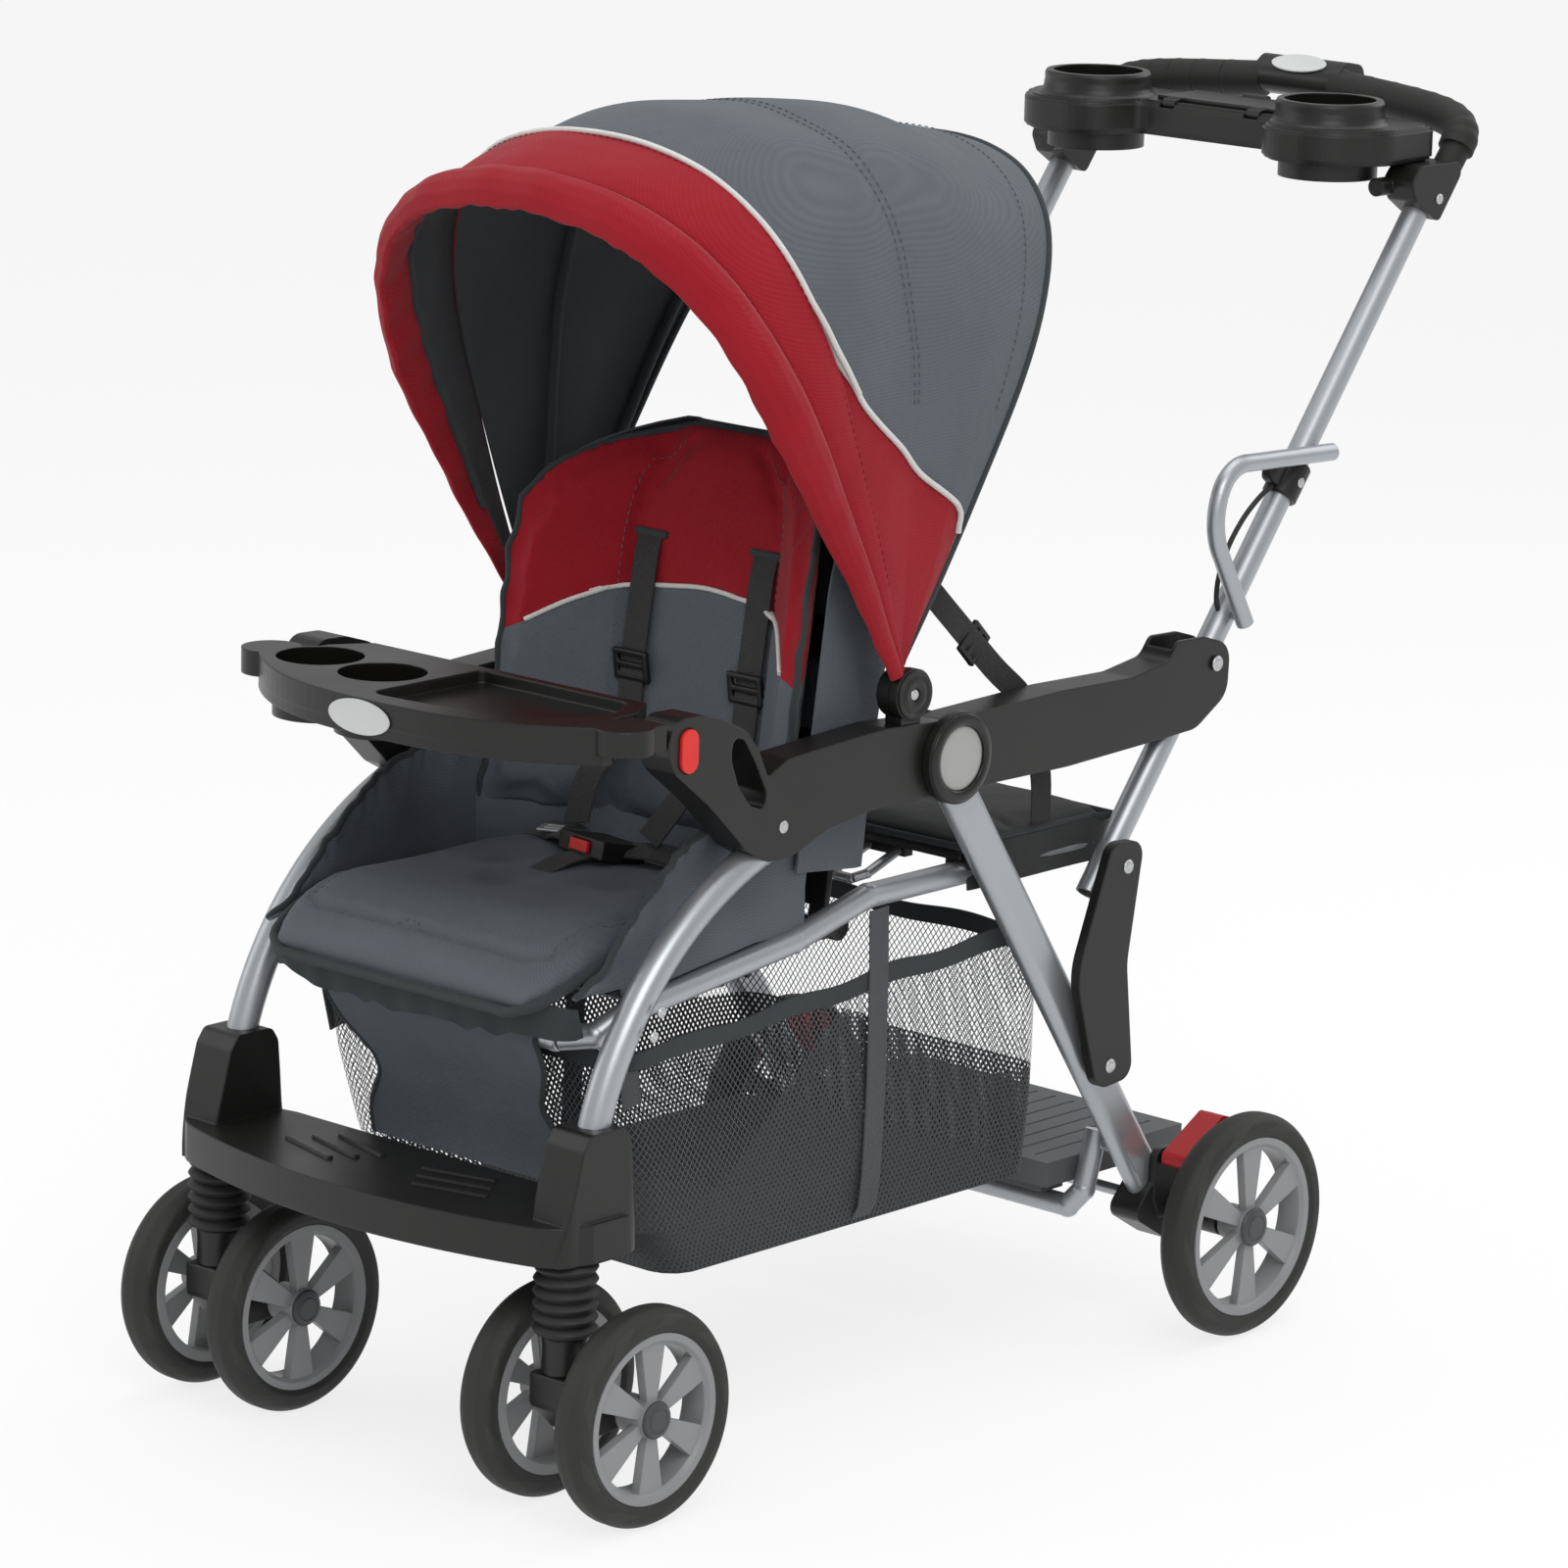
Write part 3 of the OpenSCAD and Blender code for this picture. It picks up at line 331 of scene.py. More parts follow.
def basket_net(name, colour):
    """Open knitted net on the basket's own UV map, which is in metres."""
    f = Finish(name, Roughness=0.8, Sheen_Weight=0.1)
    xy = f.map()
    k = math.pi / 0.0056
    u, v = xy.out("X"), xy.out("Y")
    thread = ((u + v * 0.7) * k).sin().abs().min(((u - v * 0.7) * k).sin().abs())
    _, xyz = f.place()
    shade_edge = f.node("ShaderNodeValToRGB", {"stops": [((y + 700) / 600, z / 400) for y, z in SHADED_NET_LINE]},
                  {0: (xyz.out("Y") - Y_SHIFT + 0.7) / 0.6})
    # painted shade: below the line the net is coloured darker than above it, and its holes are drawn smaller
    dense_and_shaded = xyz.out("Z") < shade_edge.out() * 0.4
    f.feed("Base Color", f.mix(dense_and_shaded, shade(colour, 1.5), shade(colour, 0.75)))
    f.feed("Alpha", thread < 0.30 + dense_and_shaded * 0.45)
    f.feed("Normal", f.bump(thread, -0.0004))
    return f.mat


def make_finishes():
    c = colours()
    red, grey, black = tuple(c.red_cloth), tuple(c.grey_cloth), tuple(c.black_plastic)
    for key, name, *look in (
            ("red_cloth", "red_cloth", red),
            ("grey_cloth", "grey_cloth", grey),
            ("lining", "canopy_lining", (0.040, 0.044, 0.048), 0.0014),
            ("dark_binding", "dark_binding", (0.040, 0.047, 0.050), 0.0012),
            ("black_cloth", "black_cloth", (0.028, 0.029, 0.030), 0.0016, 0.72),
            ("bench_cloth", "bench_cloth", (0.044, 0.045, 0.045), 0.0020, 0.7),
            ("piping", "white_piping", (0.72, 0.71, 0.69), 0.0011, 0.7)):
        MAT[key] = cloth(name, *look)
    MAT["canopy_cloth"] = cloth("canopy_cloth", grey, tint=two_tone(canopy_red))
    MAT["back_cloth"] = cloth("back_cloth", grey, tint=two_tone(back_red))
    for key, name, *look in (
            ("black", "black_moulding", black, 0.36, 0.00012, 0.0026),
            ("glossy", "glossy_black", shade(black, 0.8), 0.2, 0.00003),
            ("grip", "soft_grip", shade(black, 1.15), 0.62, 0.0002, 0.001, 1500.0),
            ("platform", "grey_moulding", (0.085, 0.088, 0.092), 0.5),
            ("disc", "bare_disc", (0.32, 0.32, 0.31), 0.34, 0.00005),
            ("plaque", "bare_plaque", (0.52, 0.53, 0.53), 0.36, 0.00003),
            ("rim", "silver_moulding", (0.235, 0.24, 0.245), 0.36, 0.00004, 0.0016),
            ("hub", "hub_cap", (0.05, 0.052, 0.055), 0.4),
            ("red", "signal_red", tuple(c.signal), 0.3, 0.00003),
            ("pedal", "pedal_red", (0.36, 0.012, 0.016), 0.38),
            ("rubber", "bellows_rubber", (0.018, 0.018, 0.018), 0.6, 0.0001)):
        MAT[key] = moulding(name, *look)
    MAT["tube"] = painted_tube("silver_tube", tuple(c.silver))
    MAT["steel"] = painted_tube("bright_steel", (0.56, 0.57, 0.58))
    MAT["webbing"] = webbing_cloth("black_webbing", (0.013, 0.013, 0.013))
    MAT["strap"] = webbing_cloth("charcoal_strap", (0.045, 0.050, 0.056))
    MAT["tyre_front"] = tyre_rubber("front_tyre", -0.707 + Y_SHIFT, 0.0865, 0.0865)
    MAT["tyre_rear"] = tyre_rubber("rear_tyre", Y_SHIFT, 0.095, 0.095)
    MAT["net"] = basket_net("basket_net", (0.040, 0.045, 0.050))


# modelling

def here(x, y, z):
    """A point given in millimetres from the rear axle, in the frame's metres."""
    return Vector((x / 1000, y / 1000 + Y_SHIFT, z / 1000))


def clamp(x):
    return min(1.0, max(0.0, x))


def table(x, xs, ys):
    """The value at x on the line through the points xs, ys."""
    return float(np.interp(x, xs, ys))


def deselect():
    if bpy.context.mode != "OBJECT":
        bpy.ops.object.mode_set(mode="OBJECT")
    bpy.ops.object.select_all(action="DESELECT")


def pick(obj):
    deselect()
    obj.select_set(True)
    bpy.context.view_layer.objects.active = obj
    return obj


def named(name):
    obj = bpy.context.active_object
    obj.name = name
    obj.data.name = name
    return obj


def primitive(name, kind, **settings):
    """A new mesh made by one of Blender's primitive operators."""
    deselect()
    getattr(bpy.ops.mesh, f"primitive_{kind}_add")(**settings)
    return named(name)


def apply(obj, kind, **settings):
    pick(obj)
    m = obj.modifiers.new(kind.title(), kind)
    for key, value in settings.items():
        setattr(m, key, value)
    bpy.ops.object.modifier_apply(modifier=m.name)
    return obj


def edit(obj, *steps):
    """Runs edit mode operators on the whole mesh."""
    pick(obj)
    bpy.ops.object.mode_set(mode="EDIT")
    bpy.ops.mesh.select_all(action="SELECT")
    for op, kw in steps:
        op(**kw)
    bpy.ops.object.mode_set(mode="OBJECT")
    return obj


def edit_faces(obj, test, *steps):
    """Runs edit mode operators on the faces that pass the test."""
    pick(obj)
    bpy.ops.object.mode_set(mode="EDIT")
    bpy.ops.mesh.select_mode(type="FACE")
    bpy.ops.mesh.select_all(action="DESELECT")
    bpy.ops.object.mode_set(mode="OBJECT")
    for p in obj.data.polygons:
        p.select = test(p)
    bpy.ops.object.mode_set(mode="EDIT")
    for op, kw in steps:
        op(**kw)
    bpy.ops.object.mode_set(mode="OBJECT")
    return obj


def tidy_steps(merge=1e-5):
    return ((bpy.ops.mesh.remove_doubles, {"threshold": merge}),
            (bpy.ops.mesh.normals_make_consistent, {"inside": False}))


def tidy(obj, merge=1e-5):
    return edit(obj, *tidy_steps(merge))


def smooth(obj, angle=40):
    pick(obj)
    bpy.ops.object.shade_smooth_by_angle(angle=math.radians(angle))
    return obj


def finish_piece(obj, body, material, slot, *nodes):
    obj.data.materials.clear()
    obj.data.materials.append(MAT[material])
    if body:
        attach(obj, body)
    if nodes:
        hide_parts(*nodes)
    return obj


def area_of(obj):
    return sum(p.area for p in obj.data.polygons)


def sheet_grid(name, nu, nv, at):
    """A grid primitive of nu by nv faces, each point put where at(u, v) says."""
    obj = primitive(name, "grid", x_subdivisions=nu, y_subdivisions=nv, size=2)
    for v in obj.data.vertices:
        v.co = at((v.co.x + 1) / 2, (v.co.y + 1) / 2)
    return obj


def sheet_piece(name, nu, nv, at, thick, body, material, slot, *nodes):
    """A finished cloth of some thickness, and the area of one side."""
    obj = sheet_grid(name, nu, nv, at)
    area = round(area_of(obj), 4)
    apply(obj, "SOLIDIFY", thickness=thick, offset=0)
    return finish_piece(smooth(tidy(obj), 60), body, material, slot, *nodes), area


def block_grid(name, nu, nv, at):
    """A closed pad: a grid extruded to a second skin, each point put where at(u, v, side) says."""
    obj = primitive(name, "grid", x_subdivisions=nu, y_subdivisions=nv, size=2)
    edit(obj, (bpy.ops.mesh.extrude_region_move, {"TRANSFORM_OT_translate": {"value": (0, 0, -1)}}))
    for v in obj.data.vertices:
        v.co = at((v.co.x + 1) / 2, (v.co.y + 1) / 2, 1 if v.co.z > -0.5 else -1)
    return tidy(obj)


def curve_tube(name, points, radius, cyclic=False):
    """A tube along points, made from a bevelled curve."""
    data = bpy.data.curves.new(name, "CURVE")
    data.dimensions = "3D"
    data.bevel_depth = radius
    data.bevel_resolution = 6
    data.use_fill_caps = True
    spline = data.splines.new("POLY")
    spline.points.add(len(points) - 1)
    for p, q in zip(spline.points, points):
        p.co = (*q, 1)
    spline.use_cyclic_u = cyclic
    obj = bpy.data.objects.new(name, data)
    bpy.context.scene.collection.objects.link(obj)
    pick(obj)
    bpy.ops.object.convert(target="MESH")
    return tidy(named(name), 1e-6)


def tube_piece(name, points, radius, body, material, slot, cyclic=False):
    """A finished tube: piping, a binding, a bow or a cable."""
    return finish_piece(smooth(curve_tube(name, points, radius, cyclic), 60), body, material, slot)


def rounded_path(points, step=0.006):
    """Points along a smooth curve through the given ones, about a step apart."""
    p = [np.array(q, float) for q in points]
    p = [2 * p[0] - p[1], *p, 2 * p[-1] - p[-2]]
    out = []
    for a, b, c, d in zip(p, p[1:], p[2:], p[3:]):
        n = max(2, int(np.linalg.norm(c - b) / step))
        for i in range(n):
            t = i / n
            out.append(0.5 * (2 * b + (c - a) * t + (2 * a - 5 * b + 4 * c - d) * t * t
                              + (3 * b - a - 3 * c + d) * t ** 3))
    out.append(p[-2])
    return [Vector(q) for q in out]


def ribbon(name, points, across, width, thick):
    """Flat webbing along a smooth path; across is the strap's width direction."""
    path = rounded_path(points, 0.008)
    n = len(path) - 1
    sides = []
    for i in range(n + 1):
        along = (path[min(i + 1, n)] - path[max(i - 1, 0)]).normalized()
        w = Vector(across)
        sides.append((w - along * w.dot(along)).normalized())

    def at(u, v):
        i = min(n, int(round(v * n)))
        return path[i] + sides[i] * (u - 0.5) * width
    obj = sheet_grid(name, 4, n, at)
    apply(obj, "SOLIDIFY", thickness=thick, offset=0)
    return smooth(tidy(obj), 50)


def surface_of(obj):
    """A ray caster over a finished mesh."""
    return BVHTree.FromPolygons([v.co.copy() for v in obj.data.vertices],
                                [list(p.vertices) for p in obj.data.polygons])


def stitches(name, points, normals, length=0.0042, gap=0.0028, thick=0.00055):
    """A row of short thread bars lying on a surface, copied from one shaped bar."""
    bar = primitive(name + "_bar", "cylinder", vertices=6, radius=thick, depth=length)
    edit(bar, (bpy.ops.mesh.subdivide, {"number_cuts": 1}))
    for v in bar.data.vertices:
        k = 1 - 0.55 * (abs(v.co.z) / (length / 2)) ** 2
        v.co.x, v.co.y = v.co.x * k, v.co.y * k
    made = bmesh.new()
    run = 0.0
    for a, b, n in zip(points, points[1:], normals):
        d = b - a
        while run < d.length:
            z = d.normalized()
            x = n.cross(z).normalized()
            m = Matrix((x, z.cross(x), z)).transposed().to_4x4()
            m.translation = a + d * (run / d.length) + n * thick * 0.5
            copy = bar.data.copy()
            copy.transform(m)
            made.from_mesh(copy)
            bpy.data.meshes.remove(copy)
            run += length + gap
        run -= d.length
    made.to_mesh(bar.data)
    made.free()
    bar.name = name
    bar.data.name = name
    return smooth(bar, 60)


def swell(obj, cap, voxel=0.0055, frames=20, pressure=4.0):
    """Puffs a pad with a short cloth simulation, moved no further than cap."""
    apply(obj, "REMESH", mode="VOXEL", voxel_size=voxel)
    pick(obj)
    before = np.array([v.co for v in obj.data.vertices])
    m = obj.modifiers.new("Cloth", "CLOTH")
    s = m.settings
    s.quality = 4
    s.mass = 0.3
    s.use_pressure = True
    s.uniform_pressure_force = pressure
    s.tension_stiffness = s.compression_stiffness = 15
    s.bending_stiffness = 0.5
    s.effector_weights.gravity = 0
    m.point_cache.frame_start, m.point_cache.frame_end = 1, frames
    for i in range(1, frames + 1):
        bpy.context.scene.frame_set(i)
    bpy.ops.object.modifier_apply(modifier=m.name)
    bpy.context.scene.frame_set(1)
    after = np.array([v.co for v in obj.data.vertices])
    move = after - before
    far = np.linalg.norm(move, axis=1, keepdims=True)
    move *= np.minimum(1.0, cap / np.maximum(far, 1e-9))
    obj.data.vertices.foreach_set("co", (before + move).astype(np.float32).ravel())
    obj.data.update()
    return obj


def press(obj, lines, depth, width):
    """Presses sewn channels into a pad: lines are lists of points, depth along the surface normal."""
    obj.data.update()
    normals = [v.normal.copy() for v in obj.data.vertices]
    co = np.array([v.co for v in obj.data.vertices])
    best = np.full(len(co), 9.0)
    for line in lines:
        for a, b in zip(line, line[1:]):
            a, b = np.array(a), np.array(b)
            d = b - a
            t = np.clip(((co - a) @ d) / max(d @ d, 1e-12), 0, 1)
            best = np.minimum(best, np.linalg.norm(co - a - t[:, None] * d, axis=1))
    pull = depth * np.exp(-(best / width) ** 2)
    co -= np.array(normals) * pull[:, None]
    obj.data.vertices.foreach_set("co", co.astype(np.float32).ravel())
    obj.data.update()
    return obj


def ripple(p, scale, seed=0.0):
    """A repeatable wrinkle value between about -1 and 1."""
    x, y, z = p[0] * scale + seed, p[1] * scale + 1.7 * seed, p[2] * scale - seed
    return (math.sin(1.7 * x + 2.1 * math.sin(0.9 * z + 0.4 * y))
            + math.sin(2.3 * y - 1.3 * z + 1.1 * math.sin(1.3 * x))
            + 0.6 * math.sin(3.1 * z + 1.9 * x)) / 2.6


# canopy

# a bow's outline: share of the reach, share of the half width
BOW = [(0.047, 0.985), (0.2, 1.0), (0.38, 1.0), (0.58, 0.985), (0.73, 0.92), (0.853, 0.79), (0.942, 0.57),
       (0.987, 0.3), (1.0, 0.0)]
# angles in degrees: the shell's rear edge, its span from there to the front edge, and the visor's seam
SHELL_REAR, SHELL_SPAN, VISOR_SEAM = 57.3, 53.5, 117.5
# round the visor's section: angle, lift off the surface, share of the roll's width ahead
VISOR_PATH = [(109.0, 0.0, 0.0), (111.5, 0.0015, 0.0), (114.5, 0.0015, 0.0), (116.8, 0.0, 0.0)]
VISOR_PATH += [(VISOR_SEAM, lift, ahead) for lift, ahead in (
    (-0.0025, 0.0), (0.0055, 0.05), (0.0112, 0.20), (0.0135, 0.42), (0.0120, 0.66), (0.0065, 0.88),
    (-0.0030, 1.0), (-0.0066, 0.95), (-0.0072, 0.72), (-0.0070, 0.45), (-0.0060, 0.18), (-0.0040, 0.02))]
VISOR_PATH += [(117.0, -0.0032, 0.0), (113.0, -0.0026, 0.0), (109.2, -0.0022, 0.0)]


def bow_curve():
    """Outline of a bow as (share of half width, share of reach), and the share of its length at each."""
    half = [(x, q) for q, x in BOW]
    pts = half + [(-x, q) for x, q in half[-2::-1]]
    flat = [(p.x, p.y) for p in rounded_path([(x, q, 0) for x, q in pts], 0.03)]
    run = [0.0]
    for a, b in zip(flat, flat[1:]):
        run.append(run[-1] + math.hypot(b[0] - a[0], b[1] - a[1]))
    return flat, [r / run[-1] for r in run]


BOW_POINTS, BOW_RUN = bow_curve()


def bow_at(s):
    """Point and outward normal of the bow at a share of its length, from the child's left side."""
    def on(t):
        return [table(t, BOW_RUN, [p[k] for p in BOW_POINTS]) for k in (0, 1)]
    x, q = on(s)
    e = 0.012
    ax, aq = on(max(0, s - e))
    bx, bq = on(min(1, s + e))
    tx, tq = (bx - ax) * 0.205, (bq - aq) * 0.45
    n = math.hypot(tx, tq)
    return x, q, tq / n, -tx / n


def canopy_point(angle, s, reach, half, lift=0.0, ahead=0.0):
    """Point of the canopy: angle of the bow, share along it, lift off the surface, shift to the front."""
    x, q, nx, nq = bow_at(s)
    a = math.radians(angle)
    r = q * reach + nq * lift
    return Vector((x * half + nx * lift,
                   KNOB[0] + r * math.cos(a) - ahead * math.sin(a),
                   KNOB[1] + r * math.sin(a) + ahead * math.cos(a)))


def shell_size(angle):
    """Reach and half width of the grey shell at an angle, with a dip at each sewn bow."""
    c = sizes().canopy_reach
    reach = table(angle, [57, 61, 66, 70, 79, 89, 99, 111],
                  [c + 0.034, c + 0.024, c + 0.009, c + 0.003, c + 0.002, c, c + 0.004, c + 0.005])
    half = table(angle, [57, 61, 66, 70, 89, 109], [0.189, 0.192, 0.196, 0.198, 0.199, 0.203])
    for lo, hi in ((61, 88), (88, 109)):
        if lo < angle < hi:
            reach += 0.005 * math.sin(math.pi * (angle - lo) / (hi - lo))
    return reach, half


def shell_point(angle, s, lift=0.0):
    reach, half = shell_size(angle)
    q = bow_at(s)[1]
    p = canopy_point(angle, s, reach, half, lift)
    sag = 0.0022 * ripple(p, 26.0, 1.3) * min(1.0, q * 3) * math.sin(math.pi * clamp((angle - 57) / 52))
    return canopy_point(angle, s, reach, half, lift + sag)


def visor_section(t, s):
    """Angle, lift and shift ahead for a share of the way round the visor's section, rear edge to lining."""
    w = sizes().roll_width
    edge = min(1.0, 0.30 + 0.70 * min(s, 1 - s) / 0.16)
    k = t * (len(VISOR_PATH) - 1)
    i = min(int(k), len(VISOR_PATH) - 2)
    f = k - i
    f = f * f * (3 - 2 * f) * 0.35 + f * 0.65
    angle, lift, ahead = (x + (y - x) * f for x, y in zip(VISOR_PATH[i], VISOR_PATH[i + 1]))
    return angle, lift * edge, ahead * w * edge


def piping_line():
    """The colour edge as (angle, share along the bow), from side to side."""
    line = []
    for s in np.linspace(0.0, 0.5, 70):
        q = bow_at(float(s))[1]
        angle = 100.0
        for _ in range(4):
            reach = q * shell_size(angle)[0]
            angle = table(reach, [p[0] for p in PIPING_LINE], [p[1] for p in PIPING_LINE])
        if angle > 59.5:
            line.append((max(60.0, angle), float(s)))
    return line + [(a, 1 - s) for a, s in line[-2::-1]]


def face_out(obj, beyond):
    """Turns the sheet's faces to look away from the knob axis, judged by those further from it than this."""
    good = 0
    for p in obj.data.polygons:
        c = p.center
        if c.z > KNOB[1] + 0.3 and abs(c.x) < 0.1:
            d = Vector((0, c.y - KNOB[0], c.z - KNOB[1]))
            if d.length > beyond:
                good += 1 if p.normal.dot(d) > 0 else -1
    if good < 0:
        edit(obj, (bpy.ops.mesh.flip_normals, {}))


class STROLLER_OT_canopy(bpy.types.Operator):
    """Makes the canopy shell, the padded visor, their piping, bindings and seams"""
    bl_idname = "stroller.canopy"
    bl_label = "Canopy"

    def execute(self, context):
        line = piping_line()
        self.shell(line)
        self.visor(line)
        return {"FINISHED"}

    def shell(self, line):
        blend = dict(start=tuple(canopy_point(74, 0.5, 0.44, 0.2)),
                     end=tuple(canopy_point(100, 0.5, 0.44, 0.2)))
        shell = sheet_grid("canopy_shell", 96, 72, lambda u, v: shell_point(SHELL_REAR + SHELL_SPAN * v, u))
        uv = shell.data.uv_layers.active.data
        for loop in shell.data.loops:
            p = shell.data.vertices[loop.vertex_index].co
            dy, dz = p.y - KNOB[0], p.z - KNOB[1]
            uv[loop.index].uv = (math.degrees(math.atan2(dz, dy)) / 180.0, math.hypot(dy, dz))
        tidy(shell)
        face_out(shell, 0.3)
        shell.data.materials.append(MAT["canopy_cloth"])
        shell.data.materials.append(MAT["lining"])
        apply(shell, "SOLIDIFY", thickness=0.0016, offset=-1, material_offset=1, material_offset_rim=0)
        smooth(shell, 60)
        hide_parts("canopy_rear", "canopy_mid")
        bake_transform(shell)

        spine = rounded_path([shell_point(a, s, 0.0020) for a, s in line[::2]], 0.005)
        parts = [tube_piece("canopy_piping", spine, sizes().piping, None, "piping", "grey_fabric")]

        def rib(name, angle, lift, radius, margin, kind):
            pts = [shell_point(angle, s, lift) for s in np.linspace(margin, 1 - margin, 120)]
            parts.append(tube_piece(name, pts, radius, None, kind, "grey_fabric"))
        rib("canopy_rear_binding", SHELL_REAR, -0.0008, 0.0034, 0.0, "dark_binding")
        rib("canopy_front_binding", 110.6, -0.0008, 0.0012, 0.0, "dark_binding")
        ss = [float(s) for s in np.linspace(0.14, 0.86, 260)]
        for k, angle in enumerate((62.2, 87.4, 88.6)):
            pts = [shell_point(angle, s, 0.0004) for s in ss]
            nrm = [(shell_point(angle, s, 0.006) - shell_point(angle, s)).normalized() for s in ss]
            row = stitches(f"canopy_stitch_{k}", pts, nrm)
            parts.append(finish_piece(row, None, "grey_cloth", "grey_fabric"))
        rib("canopy_bow_mid", 88.0, -0.0062, 0.004, 0.03, "lining")
        rib("canopy_bow_rear", 60.5, -0.0062, 0.004, 0.03, "lining")
        for part in parts:
            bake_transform(part)

    def visor(self, line):
        c, half = sizes().canopy_reach + 0.0135, 0.2105

        def visor_at(u, v):
            angle, lift, ahead = visor_section(v, u)
            p = canopy_point(angle, u, c, half, lift, ahead)
            roll = clamp(ahead / 0.01)
            gather = 0.0016 * math.sin(u * 190 + 2 * math.sin(u * 37)) * max(0, -lift / 0.012)
            pucker = 0.0013 * ripple(p, 60.0, 4.1) + gather
            soft = 0.0018 * ripple(p, 24.0, 2.2)
            return canopy_point(angle, u, c, half, lift + roll * pucker + soft * 0.6, ahead)
        visor = sheet_grid("visor", 200, 76, visor_at)
        visor.data.materials.append(MAT["red_cloth"])
        visor.data.materials.append(MAT["lining"])
        uv = visor.data.uv_layers.active.data
        for face in visor.data.polygons:
            face.material_index = int(uv[face.loop_start].uv[1] > 14.2 / 18)
        tidy(visor)
        face_out(visor, sizes().canopy_reach + 0.011)
        smooth(visor, 70)
        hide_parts("canopy_visor")
        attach(visor, "canopy_visor")
        ss = [float(s) for s in np.linspace(0.05, 0.95, 300)]
        for k, (angle, lift) in enumerate(((VISOR_SEAM - 0.35, 0.0003), (109.5, 0.0006))):
            pts = [canopy_point(angle, s, c, half, lift) for s in ss]
            nrm = [(canopy_point(angle, s, c, half, 0.01) - p).normalized() for s, p in zip(ss, pts)]
            finish_piece(stitches(f"visor_stitch_{k}", pts, nrm), "canopy_visor", "red_cloth", "red_fabric")
        seam = []
        for angle, s in line:
            rise = clamp((angle - 104.0) / 4.4)
            rise *= rise * (3 - 2 * rise)
            if rise > 0:
                low = shell_point(angle, s, 0.0020)
                seam.append(low + (canopy_point(angle + 0.4 * rise, s, c, half, 0.0010) - low) * rise)
        tube_piece("visor_piping", rounded_path(seam[::2] + seam[-1:], 0.005), sizes().piping, "canopy_visor",
                   "piping", "grey_fabric")
        rim = [canopy_point(VISOR_SEAM, s, c, half, -0.0058, 0.008) for s in np.linspace(0.06, 0.94, 120)]
        tube_piece("visor_lining_edge", rim, 0.0028, "canopy_visor", "dark_binding", "grey_fabric")


# seat

BACK_LEAN = math.radians(8)
HINGE = here(0, -395, 398)
# pads: width, length or height, and thickness in millimetres, and how far the back's wings come forward
BACK_W, BACK_H, BACK_T, WING = 339.0, 338.0, 22.0, 85.0
SEAT_W, SEAT_L, SEAT_T = 312.0, 298.0, 33.0


def back_to_frame(x, y, z):
    """Point in the backrest's own upright frame, millimetres from its hinge, put into the leaning place."""
    y, z = y / 1000, z / 1000
    c, s = math.cos(-BACK_LEAN), math.sin(-BACK_LEAN)
    return Vector((x / 1000, HINGE.y + y * c - z * s, HINGE.z + y * s + z * c))


def pad_edge(u, v, p=4):
    return math.sqrt(max(0.0, (1 - abs(2 * u) ** p) * (1 - abs(2 * v) ** p)))


def back_middle(u, v):
    """Middle surface of the back pad for u, v from -0.5 to 0.5, in the backrest's own frame."""
    half = 1.0 if v < 0.16 else math.sqrt(max(0.0, 1 - 0.86 * ((v - 0.16) / 0.34) ** 2.4))
    half *= 1.0 if v < 0.36 else 1 - 0.10 * ((v - 0.36) / 0.14) ** 2
    bend = WING * (max(0.0, abs(u) * half - 0.2) / 0.3) ** 1.4
    return u * BACK_W * half, -16.6 - bend, 44 + BACK_H / 2 + v * BACK_H


def back_point(u, v):
    return back_to_frame(*back_middle(u, v))


def seat_top(u, v):
    """Middle surface of the seat pad, v towards the front, millimetres from the rear axle."""
    half = 1.0 if v < 0.3 else 1 - 0.13 * ((v - 0.3) / 0.2) ** 2.6
    droop = 30 * (max(0.0, v - 0.24) / 0.26) ** 1.6
    return u * SEAT_W * half, -591 - v * SEAT_L, 397.6 + 18 - droop


